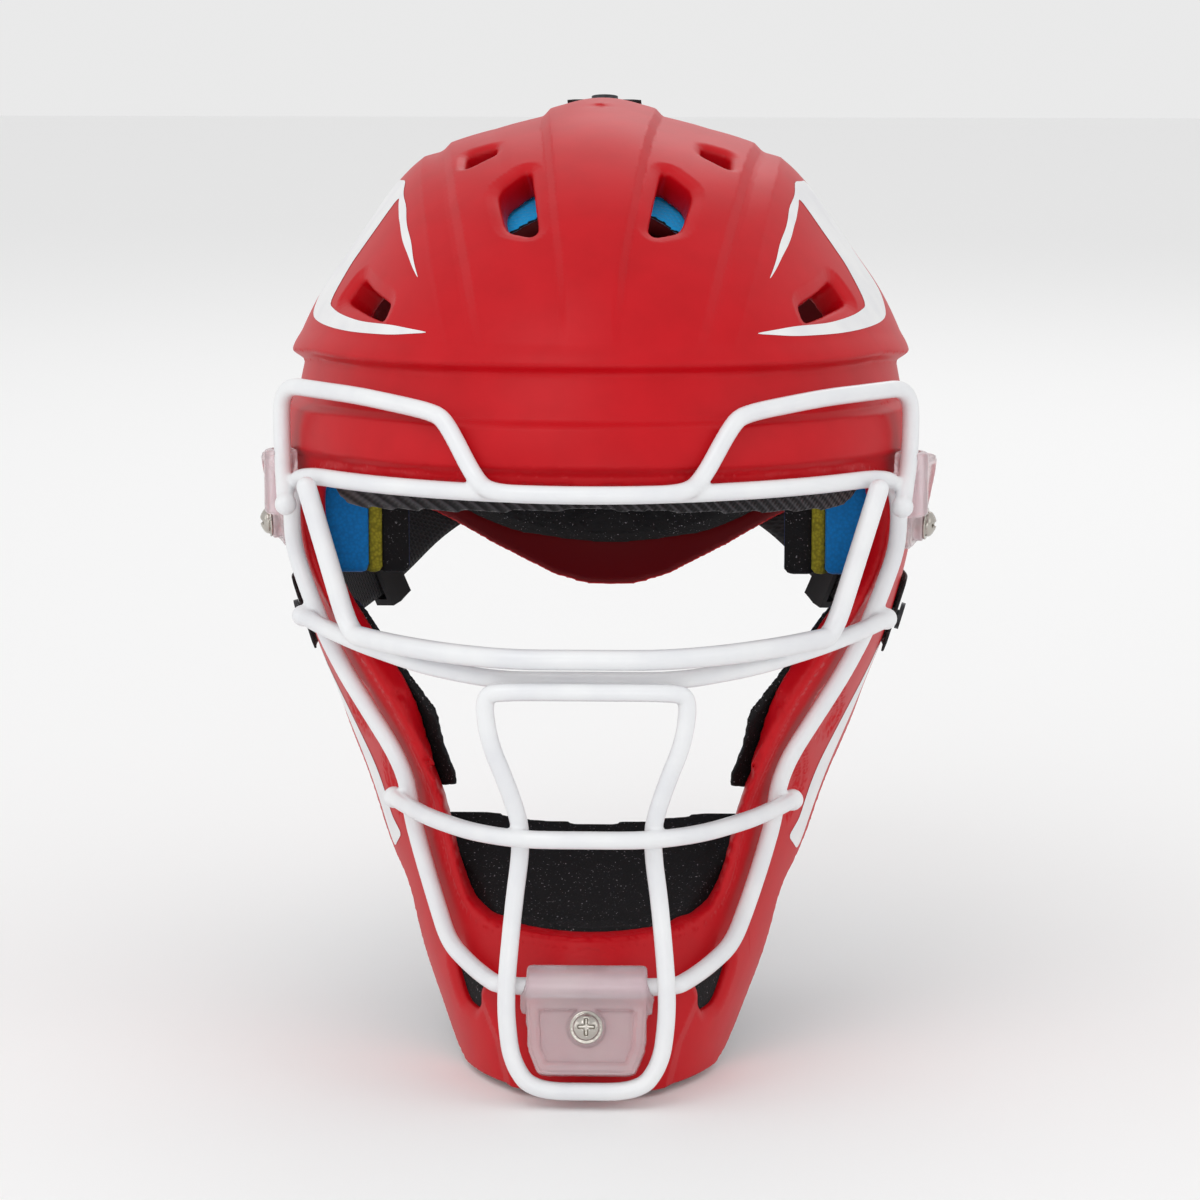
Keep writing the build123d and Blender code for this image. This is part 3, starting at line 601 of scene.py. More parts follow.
class Nodes:
    """Node tree of one finish."""

    def __init__(self, finish: Finish) -> None:
        """Builds the tree.

        Args:
            finish: what the material looks like.
        """
        self.finish = finish
        self.material = bpy.data.materials.new(f"{finish.name}_finish")
        self.material.use_nodes = True
        self.tree = self.material.node_tree
        self.shader = self.tree.nodes["Principled BSDF"]
        self.place = self.tree.nodes.new("ShaderNodeTexCoord")
        plain = {
            "Base Color": linear(finish.colour), "Roughness": finish.roughness, "Metallic": finish.metallic,
            "Transmission Weight": finish.clear, "Sheen Weight": finish.sheen, "Coat Weight": finish.coat,
            "Coat Roughness": 0.25, "Sheen Roughness": 0.4, "IOR": 1.46, "Specular IOR Level": finish.gloss,
        }
        for name, value in plain.items():
            self.shader.inputs[name].default_value = value
        height, mask = self._pattern()
        if mask is not None:
            colour = self._mix(mask, linear(finish.colour), linear(finish.second))
            # Side colours: the pads' own blue faces, the painted shade inside the rear plate and the painted
            # light on the crown pads' shell side.
            for side, low, high in ((finish.head_side_colour_and_painted_shade, -0.6, -0.72), (finish.shell_side_colour_and_painted_light, 0.6, 0.75)):
                if side is not None:
                    colour = self._mix(self._faces(low, high), colour, linear(side))
            self.tree.links.new(colour, self.shader.inputs["Base Color"])
        if height is not None:
            bump_node = self.tree.nodes.new("ShaderNodeBump")
            bump_node.inputs["Strength"].default_value = 1.0
            bump_node.inputs["Distance"].default_value = finish.relief * METRE
            self.tree.links.new(height, bump_node.inputs["Height"])
            self.tree.links.new(bump_node.outputs["Normal"], self.shader.inputs["Normal"])

    def _texture(self, kind: str, pitch: float, settings: dict[str, float] | None = None) -> Socket:
        """Noise or Voronoi texture with a pitch in millimetres, in the piece's own coordinates."""
        node = self.tree.nodes.new(kind)
        self.tree.links.new(self.place.outputs["Object"], node.inputs["Vector"])
        node.inputs["Scale"].default_value = 1 / (pitch * METRE)
        for name, value in (settings or {}).items():
            node.inputs[name].default_value = value
        return node.outputs[0]

    def _bands(self, direction: Sequence[float], pitch: float, wobble: float = 0.0) -> Socket:
        """Even ridges across a direction."""
        dot = self._vector("DOT_PRODUCT", self.place.outputs["Object"], tuple(direction))
        value = self._sum("MULTIPLY", dot, math.tau / (pitch * METRE))
        if wobble:
            noise = self._texture("ShaderNodeTexNoise", pitch * 6)
            value = self._sum("ADD", value, self._sum("MULTIPLY", noise, wobble))
        return self._sum("MULTIPLY_ADD", self._sum("SINE", value), 0.5, 0.5)

    def _feed(self, pairs: Iterable[tuple[Socket, object]]) -> None:
        """Links each input to another socket, or gives it a value."""
        for socket, value in pairs:
            if isinstance(value, Socket):
                self.tree.links.new(value, socket)
            else:
                socket.default_value = value

    def _vector(self, operation: str, *values: Sequence[float] | Socket) -> Socket:
        """Vector sum that ends in a number."""
        node = self.tree.nodes.new("ShaderNodeVectorMath")
        node.operation = operation
        self._feed(zip(node.inputs, values))
        return node.outputs["Value"]

    def _sum(self, operation: str, *values: float | Socket) -> Socket:
        """Number from numbers."""
        node = self.tree.nodes.new("ShaderNodeMath")
        node.operation = operation
        self._feed(zip(node.inputs, values))
        return node.outputs[0]

    def _range(self, value: Socket, low: float, high: float) -> Socket:
        """0 below low and 1 above high, or the reverse."""
        node = self.tree.nodes.new("ShaderNodeMapRange")
        ends = (("Value", value), ("From Min", low), ("From Max", high))
        self._feed((node.inputs[name], end) for name, end in ends)
        return node.outputs["Result"]

    def _mix(self, share: Socket, a: object, b: object) -> Socket:
        """Colour between two colours."""
        node = self.tree.nodes.new("ShaderNodeMix")
        node.data_type = "RGBA"
        self._feed(((node.inputs["Factor"], share), (node.inputs[6], a), (node.inputs[7], b)))
        return node.outputs[2]

    def _faces(self, low: float, high: float) -> Socket:
        """1 where a pad's face looks away from the head's centre, or toward it with the limits turned round.
        It places the side colours: the pads' own blue, the painted shade inside the rear plate and the
        painted light on the crown pads' shell side.
        """
        node = self.tree.nodes.new("ShaderNodeVectorMath")
        node.operation = "NORMALIZE"
        self.tree.links.new(self.place.outputs["Object"], node.inputs[0])
        facing = self._vector("DOT_PRODUCT", self.place.outputs["Normal"], node.outputs[0])
        return self._range(facing, low, high)

    def _pattern(self) -> tuple[Socket | None, Socket | None]:
        """Height and colour mask of the finish's structure."""
        kind, pitch = self.finish.texture, self.finish.pitch
        cloud = self._texture("ShaderNodeTexNoise", pitch * 14, {"Detail": 3.0})
        fine = self._texture("ShaderNodeTexNoise", pitch, {"Detail": 4.0, "Roughness": 0.6})
        if kind in (Texture.GRAIN, Texture.POWDER, Texture.PAINT, Texture.FROST):
            return fine, self._range(cloud, 0.35, 0.75)
        if kind is Texture.METAL:
            return fine, self._range(cloud, 0.3, 0.8)
        if kind is Texture.RIBS:
            ribs = self._bands((0.62, 0.25, 0.74), pitch, 1.5)
            stitch = self._bands((0.74, 0.1, -0.62), pitch * 0.45, 0.8)
            height = self._sum("MULTIPLY_ADD", stitch, 0.25, ribs)
            return height, self._range(ribs, 0.55, 1.0)
        if kind is Texture.KNIT:
            wale = self._bands((0.7, 0.3, 0.1), pitch, 1.0)
            course = self._bands((0.05, 0.5, 0.8), pitch * 1.2, 1.0)
            return self._sum("MULTIPLY", wale, course), self._range(fine, 0.4, 0.75)
        if kind is Texture.WEAVE:
            warp = self._bands((0.1, 0.3, 1.0), pitch, 0.3)
            weft = self._bands((0.35, 1.0, 0.2), pitch * 1.3, 0.3)
            return self._sum("MAXIMUM", warp, weft), self._range(self._sum("MULTIPLY", warp, weft), 0.3, 1.0)
        cells = self._texture("ShaderNodeTexVoronoi", pitch, {"Randomness": 1.0})
        if kind is Texture.CELLS:
            return cells, self._range(cells, 0.2, 0.75)
        flecks = self._texture("ShaderNodeTexNoise", pitch * 0.9, {"Detail": 2.0, "Roughness": 0.7})
        return cells, self._range(flecks, 0.655, 0.735)


SHELL_RED = Finish(
    "shell_red", (0.76, 0.02, 0.08), Texture.GRAIN, (0.73, 0.01, 0.065), 0.42, 0.8, 0.01, gloss=0.26,
)
# The darker red on the side toward the head is painted shade: the inside of the plate is the same plastic,
# darkened for the shadow that it lies in.
PLATE_RED = Finish(
    "plate_red", (0.72, 0.02, 0.075), Texture.GRAIN, (0.69, 0.01, 0.065), 0.48, 0.8, 0.014, gloss=0.26,
    head_side_colour_and_painted_shade=(0.45, 0.01, 0.04),
)
STRIPE_WHITE = Finish("stripe_white", (0.93, 0.93, 0.93), Texture.PAINT, (0.89, 0.89, 0.90), 0.4, 0.9, 0.008)
CAGE_WHITE = Finish(
    "cage_white", (0.93, 0.935, 0.94), Texture.POWDER, (0.89, 0.895, 0.91), 0.3, 1.3, 0.02, coat=0.3,
)
CLIP_CLEAR = Finish(
    "clip_clear", (1.0, 0.94, 0.95), Texture.FROST, (0.98, 0.90, 0.92), 0.2, 0.7, 0.01, clear=0.68,
)
NICKEL = Finish(
    "nickel", (0.78, 0.76, 0.73), Texture.METAL, (0.66, 0.64, 0.61), 0.18, 0.5, 0.006, metallic=1.0,
)
DARK_METAL = Finish(
    "dark_metal", (0.30, 0.30, 0.31), Texture.METAL, (0.22, 0.22, 0.23), 0.38, 0.5, 0.006, metallic=1.0,
)
RIB_BLACK = Finish(
    "rib_black", (0.08, 0.075, 0.085), Texture.RIBS, (0.24, 0.235, 0.25), 0.85, 2.5, 0.5, sheen=0.25,
)
# The blue toward the head is the pad's own colour; the lighter blue toward the shell is that blue plus
# painted light, for faces that lie in shade behind the vents.
KNIT_BLUE = Finish(
    "knit_blue", (0.03, 0.035, 0.05), Texture.KNIT, (0.05, 0.06, 0.08), 0.8, 1.3, 0.16, sheen=0.3,
    head_side_colour_and_painted_shade=(0.0, 0.45, 0.75), shell_side_colour_and_painted_light=(0.02, 0.70, 1.0),
)
AZURE = Finish("azure_foam", (0.0, 0.52, 0.84), Texture.CELLS, (0.0, 0.46, 0.76), 0.85, 1.1, 0.12, sheen=0.2)
YELLOW = Finish("yellow_foam", (0.66, 0.62, 0.16), Texture.CELLS, (0.50, 0.47, 0.10), 0.9, 1.0, 0.16)
SPECKLED = Finish(
    "speckled_foam", (0.055, 0.05, 0.06), Texture.SPECKLE, (0.62, 0.60, 0.62), 0.9, 0.9, 0.14,
    head_side_colour_and_painted_shade=(0.04, 0.22, 0.50),
)
BLACK_FOAM = Finish("black_foam", (0.055, 0.05, 0.06), Texture.SPECKLE, (0.62, 0.60, 0.62), 0.9, 0.9, 0.14)
WEBBING = Finish(
    "webbing", (0.09, 0.09, 0.095), Texture.WEAVE, (0.17, 0.17, 0.18), 0.8, 1.5, 0.25, sheen=0.15,
)
TRIM = Finish("trim_black", (0.10, 0.10, 0.105), Texture.GRAIN, (0.14, 0.14, 0.145), 0.45, 0.9, 0.02)


class Body(Enum):
    """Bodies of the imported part."""

    SHELL = "shell"
    PLATE = "plate"


def place(
    piece: Piece,
    finish: Finish,
    body: Body,
    nodes: Sequence[str] = (),
) -> Piece:
    """Gives a piece its finish and its place in the frame.

    Args:
        piece: the new object.
        finish: its material.
        body: body that it moves with.
        nodes: CAD nodes that it stands for.

    Returns:
        The piece.
    """
    piece.data.materials.clear()
    piece.data.materials.append(finish.material())
    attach(piece, body.value)
    if nodes:
        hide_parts(*nodes)
    return piece


# Shell and plate
class Seen(Enum):
    """Direction that an outline is drawn in."""

    TOP = "top"
    FRONT = "front"
    BACK = "back"


class SkinOutline:
    """Outline on the skin, tested in the plane that touches the skin at its middle."""

    FAR = 12.0
    MARGIN = 22.0

    def __init__(self, skin: Skin, points: Line, seen: Seen) -> None:
        """Puts the outline on the skin.

        Args:
            skin: the outer form.
            points: its corners as drawn.
            seen: direction that it is drawn in.
        """
        meet = {Seen.TOP: skin.from_top, Seen.FRONT: skin.from_front, Seen.BACK: skin.from_back}[seen]
        corners = np.array([meet(*point) for point in points])
        self.centre = corners.mean(0)
        self.normal = skin.normal(self.centre)
        side = np.cross(self.normal, [1.0, 0, 0] if abs(self.normal[0]) < 0.8 else [0, 1.0, 0])
        self.side = side / np.linalg.norm(side)
        self.up = np.cross(self.normal, self.side)
        flat = [((c - self.centre) @ self.side, (c - self.centre) @ self.up) for c in corners]
        self.outline = rounded(flat, 5, share=0.3)
        self.reach = float(np.abs(self.outline).max()) + self.MARGIN

    def distance(self, x: Array, y: Array, z: Array) -> Array:
        """Distance from the outline along the skin, negative inside."""
        result = np.full(x.shape, self.FAR)
        dx, dy, dz = x - self.centre[0], y - self.centre[1], z - self.centre[2]
        near = (dx * dx + dy * dy + dz * dz) < self.reach**2
        if near.any():
            dx, dy, dz = dx[near], dy[near], dz[near]
            u = dx * self.side[0] + dy * self.side[1] + dz * self.side[2]
            v = dx * self.up[0] + dy * self.up[1] + dz * self.up[2]
            result[near] = polygon_distance(u, v, self.outline, self.FAR)
        return result


@dataclass(frozen=True)
class CrownLines:
    """Raised centre band of the crown and the two lines on each side of it.

    Lines are pairs seen from above (y, x). A profile is pairs of distance outward from its line and
    height there. A zone is where a form starts and where it is full.
    """

    centre_line: Line = ((50, 18.5), (6, 18.5), (-20, 17.2), (-50, 15), (-78, 12.5), (-96, 10), (-112, 8))
    second_line: Line = (
        (30, 52), (8, 51.5), (-29, 48.5), (-55, 45.6), (-76, 42), (-91, 39), (-102, 36.5), (-112, 33),
    )
    third_line: Line = (
        (30, 60), (8, 59.5), (-20, 58.4), (-45, 56), (-75, 52), (-96, 47.5), (-107, 43.5), (-115, 40),
    )
    zone_up: Pair = (62, 74)
    zone_ahead: Pair = (70, 30)
    band_zone: Pair = (-119, -100)
    facet_zone: Pair = (-116, -92)
    band_profile: Line = ((-3.0, 1.6), (-0.9, 1.55), (1.5, -0.35), (3.2, -0.3), (12, 0.0))
    second_profile: Line = ((-16, 0), (-0.9, 0.9), (1.5, -0.4), (3.2, -0.4))
    third_profile: Line = ((0, 1.0), (1.2, 0.85), (26, 0))
    between_start: float = 3.0
    between: Pair = (-0.4, 1.0)

    def height(self, x: Array, y: Array, z: Array) -> Array:
        """How far they stand above the skin."""
        across = np.abs(x)
        crown = ramp(*self.zone_up, z) * ramp(*self.zone_ahead, y)
        band = along(across - along(y, self.centre_line), self.band_profile)
        second, third = along(y, self.second_line), along(y, self.third_line)
        width = np.maximum(third - second - self.between_start, 1)
        from_second, from_third = across - second, across - third
        rise = np.interp((from_second - self.between_start) / width, [0, 1], self.between)
        facet = along(from_second, self.second_profile)
        facet = np.where(from_second > self.between_start, rise, facet)
        facet = np.where(from_third > 0, along(from_third, self.third_profile), facet)
        return crown * ramp(*self.band_zone, y) * band + crown * ramp(*self.facet_zone, y) * facet


@dataclass(frozen=True)
class BrowBand:
    """Lip, groove and ring round the brow.

    Lines are pairs seen from the side (y, z). An edge is heights above its line between which a form
    goes from nothing to full, and a zone is the same along the helmet.
    """

    rim_line: Line = (
        (-125, 66), (-119, 65.9), (-100, 64.3), (-80, 63), (-48, 61.5), (-15, 57.5), (20, 55), (60, 54),
    )
    ring_top: Line = (
        (-130, 49), (-122, 48.5), (-105, 47.8), (-82, 46.5), (-54, 44.5), (-15, 42.5), (20, 41.5), (60, 41),
    )
    ring_low: Line = (
        (-132, 35.5), (-120, 34.5), (-100, 33.5), (-82, 32.6), (-55, 30.5), (-15, 27), (20, 25), (60, 24),
    )
    band_zone: Pair = (40, 24)
    lip: float = 0.8
    lip_middle: float = 1.5
    lip_half: float = 6.0
    groove: float = 2.9
    groove_more: float = 1.5
    deeper_zone: Pair = (-95, -45)
    groove_edge: Pair = (1.0, -3.0)
    groove_lean: float = 0.5
    groove_height: float = 12.0
    ring_edge: Pair = (-1.6, 1.5)
    under: float = 2.0
    under_edge: Pair = (1.0, -2.4)
    under_zone: Pair = (-20, -45)
    under_up: Pair = (12, 27)

    def height(self, y: Array, z: Array) -> Array:
        """How far it stands above the skin."""
        rim, top, low = along(y, self.rim_line), along(y, self.ring_top), along(y, self.ring_low)
        lip = self.lip * bump((z - rim - self.lip_middle) / self.lip_half)
        deep = self.groove + self.groove_more * ramp(*self.deeper_zone, y)
        lean = self.groove_lean * np.clip((rim - z) / self.groove_height, 0, 1)
        groove = lean - deep * ramp(rim + self.groove_edge[0], rim + self.groove_edge[1], z)
        ring = (self.groove_lean - deep) * ramp(top + self.ring_edge[0], top + self.ring_edge[1], z)
        step = np.where(z > top + self.ring_edge[1], groove, ring)
        under = ramp(low + self.under_edge[0], low + self.under_edge[1], z) * ramp(*self.under_up, z)
        return ramp(*self.band_zone, y) * (lip + step) - self.under * ramp(*self.under_zone, y) * under


@dataclass(frozen=True)
class JawForm:
    """Shallow recesses of the jaw, seen from the side (y, z), and the ridges beside the chin clip."""

    upper_recess: Line = ((-79, -42), (-62, -47), (-50, -56), (-57, -63), (-70, -58), (-79, -51))
    lower_recess: Line = ((-82, -61), (-68, -68), (-62, -78), (-70, -88), (-77, -83), (-83, -72))
    recess: float = 1.5
    recess_edge: Pair = (2.6, -3.4)
    jaw_corner: Spot = (40, -20, -35)
    ridge_line: Line = ((-162, 24), (-146, 28), (-131, 35.5), (-118, 41))
    ridge_profile: Line = ((-14, -0.7), (-0.6, 0.9), (1.6, -0.4), (14, 0.0))
    ridge_zone: Pair = (-116, -126)
    chin_corner: Pair = (-90, -118)

    def height(self, x: Array, y: Array, z: Array) -> Array:
        """How far they stand above the skin."""
        across, height = np.abs(x), np.zeros(x.shape)
        side, back, top = self.jaw_corner
        jaw = (across > side) & (y < back) & (z < top)
        if jaw.any():
            recesses = [rounded(line, 5) for line in (self.upper_recess, self.lower_recess)]
            inside = np.minimum(*[polygon_distance(y[jaw], z[jaw], line, 10) for line in recesses])
            height[jaw] -= self.recess * ramp(*self.recess_edge, inside)
        back, top = self.chin_corner
        chin = (y < back) & (z < top)
        if chin.any():
            ridge = along(across[chin] - along(z[chin], self.ridge_line), self.ridge_profile)
            height[chin] += ramp(*self.ridge_zone, z[chin]) * ridge
        return height


@dataclass(frozen=True)
class Vent:
    """Opening in the skin with a pressed-in rim.

    Args:
        outline: its corners, for the right-hand side.
        seen: direction that they are drawn in.
        sunk: how deep its rim is pressed in.
        around: how far from its edge that starts.
    """

    outline: Line
    seen: Seen
    sunk: float
    around: float


@dataclass
class FrontShell:
    """One-piece shell: crown, brow band, cheeks, jaw and chin guard.

    Lines are pairs seen from the side (y, z) or from the front (x, z).

    Args:
        skin: the outer form.
        wall: its thickness.
        collar: depth of the walls round the vents.
        well: how much deeper they are at the top of the crown.
        flange: depth of the wall round the face opening.
        flange_wall: its thickness.
        voxel: size of its mesh.
    """

    ROUND = 120
    UP = 140

    skin: Skin
    wall: float = 3.2
    wall_round: float = 1.0
    sunk_share: float = 0.9
    collar: float = 7.5
    collar_wall: float = 2.2
    collar_round: float = 1.2
    well: float = 4.6
    well_zone: Pair = (50, 70)
    flange: float = 9.0
    flange_wall: float = 3.2
    flange_round: float = 1.5
    vent_edge: float = 0.3
    vent_round: float = 1.6
    opening_round: float = 2.8
    edge_round: float = 2.4
    corner_share: float = 0.45
    voxel: float = 1.15
    deepest: float = 14.0
    edge: Line = (
        (92, 120), (74, 88), (58, 55), (48, 20), (42, -8), (30, -28), (8, -42), (-18, -60), (-38, -80),
        (-50, -103), (-62, -113), (-74, -135), (-92, -156), (-108, -161),
    )
    opening: Line = (
        (0, 29.5), (50, 28.5), (80, 26.5), (88, 25), (94.5, 20), (94.5, 8), (91, -5), (84, -16), (75, -27),
        (66.5, -38), (58, -52), (51, -66), (46, -79), (43.5, -90), (40.5, -102), (36.5, -108.5), (28, -111.2),
        (0, -111.5),
    )
    opening_zone: Pair = (-36, -66)
    brow_vent: Vent = Vent((
        (21.6, -50), (19.6, -68.5), (17.7, -83), (20, -84.5), (28, -79.5), (31.3, -63), (30.2, -58),
    ), Seen.TOP, 1.6, 4.5)
    side_vent: Vent = Vent((
        (76.8, -45), (72.5, -59), (65.6, -74), (67.7, -77.6), (74.6, -65.5), (82.3, -46.5),
    ), Seen.TOP, 2.0, 5.0)
    crown_vent: Vent = Vent(((34.0, -20.0), (43.3, -20.6), (43.3, -37.5), (33.8, -32.0)), Seen.TOP, 1.4, 3.8)
    rear_vent: Vent = Vent(((19, 55), (35, 51), (40, 64), (24, 69)), Seen.TOP, 1.4, 3.8)
    chin_vent: Vent = Vent((
        (45.6, -125.6), (41.7, -126.3), (33.3, -127.5), (35.6, -136), (36.9, -138.7), (41.2, -137.6),
    ), Seen.FRONT, 1.5, 4.0)
    crown: CrownLines = CrownLines()
    brow: BrowBand = BrowBand()
    jaw: JawForm = JawForm()
    slots: int = 3
    slot_pitch: float = 9.0
    slot_middle: float = 6.0
    slot_half: float = 6.0
    slot_radius: float = 2.5
    slot_round: float = 1.2
    hole: Pair = (-58.0, -34.7)
    hole_radius: float = 2.3
    hole_round: float = 0.8
    pad_gap: float = 0.6

    def __post_init__(self) -> None:
        """Puts the outlines on the skin."""
        crown_vents = (self.brow_vent, self.side_vent, self.crown_vent, self.rear_vent)
        self.crown_vents = [(SkinOutline(self.skin, vent.outline, vent.seen), vent) for vent in crown_vents]
        chin = self.chin_vent
        self.vents = [*self.crown_vents, (SkinOutline(self.skin, chin.outline, chin.seen), chin)]
        angles = [self._angles(*self.skin.from_front(*point)) for point in self.opening]
        self.opening_line = self._to_middle(angles)
        self.front_line = self._to_middle(self.opening)
        edge = rounded(self.edge, 4, closed=False, share=0.42)
        self.region = np.array([(112, 160), *map(tuple, edge), (-220, -161), (-220, 160)])

    def _to_middle(self, points: Sequence[Pair]) -> Array:
        """Rounded outline of the opening's right half, carried on past the middle plane."""
        line = rounded(points, 5, closed=False, share=self.corner_share)
        return np.array([(-FAR, points[0][1]), *map(tuple, line), (-FAR, points[-1][1])])

    @classmethod
    def _angles(cls, x: float | Array, y: float | Array, z: float | Array) -> tuple:
        """Place round and up the head, about in millimetres."""
        return np.arctan2(np.abs(x), -y) * cls.ROUND, np.arctan2(z, np.hypot(x, y)) * cls.UP

    def relief(self, x: Array, y: Array, z: Array) -> Array:
        """How far the outside stands above the skin."""
        return self.crown.height(x, y, z) + self.brow.height(y, z) + self.jaw.height(x, y, z)

    def outside(self, x: Array, y: Array, z: Array) -> Array:
        """Distance from the outside, as if nothing were cut from it."""
        return self.skin.distance(x, y, z) - self.relief(x, y, z)

    def opening_distance(self, x: Array, y: Array, z: Array) -> Array:
        """Distance from the face opening."""
        u, v = self._angles(x, y, z)
        around = polygon_distance(u, v, self.opening_line) * np.sqrt(x * x + y * y + z * z) / self.UP
        ahead = polygon_distance(np.abs(x), z, self.front_line)
        share = ramp(*self.opening_zone, z)
        return around * (1 - share) + ahead * share

    def _holes(self, shell: Array, x: Array, y: Array, z: Array) -> Array:
        """Cuts the ear slots and the small jaw holes."""
        across = np.abs(x)
        ear = (across > 85) & (y > -12) & (y < 30) & (z > -14) & (z < 26)
        if ear.any():
            rise = np.maximum(np.abs(z[ear] - self.slot_middle) - self.slot_half, 0)
            slots = [np.hypot(rise, y[ear] - self.slot_pitch * k) for k in range(self.slots)]
            shell[ear] = smooth_max(shell[ear], self.slot_radius - np.minimum.reduce(slots), self.slot_round)
        jaw = (across > 70) & (y < -40) & (z < -25) & (z > -45)
        if jaw.any():
            away = np.hypot(y[jaw] - self.hole[0], z[jaw] - self.hole[1])
            shell[jaw] = smooth_max(shell[jaw], self.hole_radius - away, self.hole_round)
        return shell

    def _collar_depth(self, z: Array) -> Array:
        """How deep the walls round the vents reach."""
        return self.collar + self.well * ramp(*self.well_zone, z)

    def distance(self, x: Array, y: Array, z: Array) -> Array:
        """The shell's field."""
        across, out = np.abs(x), self.skin.distance(x, y, z)
        height = self.relief(x, y, z)
        vents = np.full(x.shape, SkinOutline.FAR)
        for outline, vent in self.vents:
            inside = outline.distance(across, y, z)
            height = height - vent.sunk * ramp(vent.around, self.vent_edge, inside)
            vents = np.minimum(vents, inside)
        outer = out - height
        inner = out + self.wall - np.minimum(height, 0) * self.sunk_share
        wall = smooth_max(outer, -inner, self.wall_round)
        collar = smooth_max(outer, -(out + self._collar_depth(z)), self.collar_round)
        collar = smooth_max(collar, vents - self.collar_wall, self.collar_round)
        opening = self.opening_distance(x, y, z)
        flange = smooth_max(outer, -(out + self.flange), self.flange_round)
        flange = smooth_max(flange, opening - self.flange_wall, self.flange_round)
        shell = smooth_min(smooth_min(wall, collar, self.flange_round), flange, self.flange_round)
        shell = smooth_max(smooth_max(shell, -vents, self.vent_round), -opening, self.opening_round)
        shell = smooth_max(shell, polygon_distance(y, z, self.region), self.edge_round)
        return self._holes(shell, x, y, z)

    def inner_room(self, x: Array, y: Array, z: Array) -> Array:
        """What pads stay out of: the flange round the face opening."""
        out = self.skin.distance(x, y, z)
        around = self.opening_distance(x, y, z) - self.flange_wall - self.pad_gap
        return np.maximum(-(out + self.flange + 0.8), around)

    def wells(self, x: Array, y: Array, z: Array) -> Array:
        """What pads stay out of: the deep walls round the crown's vents."""
        vents = np.minimum.reduce([outline.distance(np.abs(x), y, z) for outline, _ in self.crown_vents])
        depth = self.skin.distance(x, y, z) + self._collar_depth(z) + 0.5
        return np.maximum(vents - self.collar_wall - self.pad_gap, -depth)

    def behind(self, x: Array, y: Array, z: Array) -> Array:
        """What pads stay out of: the wall itself, also where it is pressed in."""
        return -(self.outside(x, y, z) + self.wall + 0.3)

    def _rough(self, x: Array, y: Array, z: Array) -> Array:
        """Where the field can be near zero."""
        out = self.skin.distance(x, y, z)
        return np.maximum(np.maximum(out - 2, -(out + self.deepest)), -1)

    def build(self) -> Piece:
        """Makes the shell."""
        low, high = (-112, -160, -170), (112, 112, 144)
        solid = Solid("front_shell_body", self.distance, low, high, self.voxel, self._rough)
        return place(surface(solid), SHELL_RED, Body.SHELL, ["front_shell"])


@dataclass
class Stripe:
    """Printed stripe on the shell, both sides alike.

    Args:
        name: name of the piece.
        shell: what it lies on.
        points: corners near the skin, x taken as a distance from the middle plane.
        lift: height above the shell.
        spacing: size of its mesh.
        scale: size of a radian in its flat drawing.
    """

    name: str
    shell: FrontShell
    points: Route
    lift: float = 0.14
    spacing: float = 2.2
    inset: float = 0.7
    scale: float = 100.0
    reach: float = 150.0
    rounds: int = 24
    pace: float = 0.85
    longest: float = 15.0

    def _fit(self, flat: Array) -> Array:
        """Points of the shell's surface at places given by their angles."""
        turn, rise = flat[:, 0] / self.scale, flat[:, 1] / self.scale
        ray = np.stack([np.cos(rise) * np.sin(turn), -np.cos(rise) * np.cos(turn), np.sin(rise)], 1)
        reach = np.full(len(flat), self.reach)
        for _ in range(self.rounds):
            gap = self.shell.outside(*(ray * reach[:, None]).T) - self.lift
            reach -= np.clip(gap * self.pace, -self.longest, self.longest)
        return ray * reach[:, None]

    def build(self) -> list[Piece]:
        """Makes the stripe on the right and on the left."""
        corners = np.array(self.points, float)
        turn = np.arctan2(np.abs(corners[:, 0]), -corners[:, 1]) * self.scale
        rise = np.arctan2(corners[:, 2], np.hypot(corners[:, 0], corners[:, 1])) * self.scale
        outline = rounded(np.stack([turn, rise], 1), 4, share=0.22)
        edge = []
        for start, end in zip(outline, np.roll(outline, -1, axis=0)):
            count = max(1, int(np.linalg.norm(end - start) / self.spacing))
            edge += [start + (end - start) * k / count for k in range(count)]
        edge = np.array(edge)
        low, high = edge.min(0), edge.max(0)
        columns, rows = [np.arange(low[k], high[k], self.spacing) for k in (0, 1)]
        grid = np.stack(np.meshgrid(columns, rows, indexing="ij"), -1).reshape(-1, 2)
        inner = grid[polygon_distance(grid[:, 0], grid[:, 1], edge) < -self.inset * self.spacing]
        flat = [Vector(p) for p in np.concatenate([edge, inner])]
        rim = [list(range(len(edge)))]
        vertices, _, faces, *_ = delaunay_2d_cdt(flat, [], rim, 1, 1e-4)
        points = self._fit(np.array([tuple(v) for v in vertices]))
        triangles = np.array(faces)
        pieces = []
        for side, label in ((1, "right"), (-1, "left")):
            turned = points * np.array([side, 1, 1])
            thing = mesh_object(f"{self.name}_{label}", turned, triangles if side > 0 else triangles[:, ::-1])
            if self._faces_inward(thing):
                thing.data.flip_normals()
            pieces.append(place(thing, STRIPE_WHITE, Body.SHELL))
        return pieces

    @staticmethod
    def _faces_inward(thing: Piece) -> bool:
        """Whether the faces look at the middle of the helmet."""
        face = thing.data.polygons[len(thing.data.polygons) // 2]
        return face.normal.dot(face.center) < 0


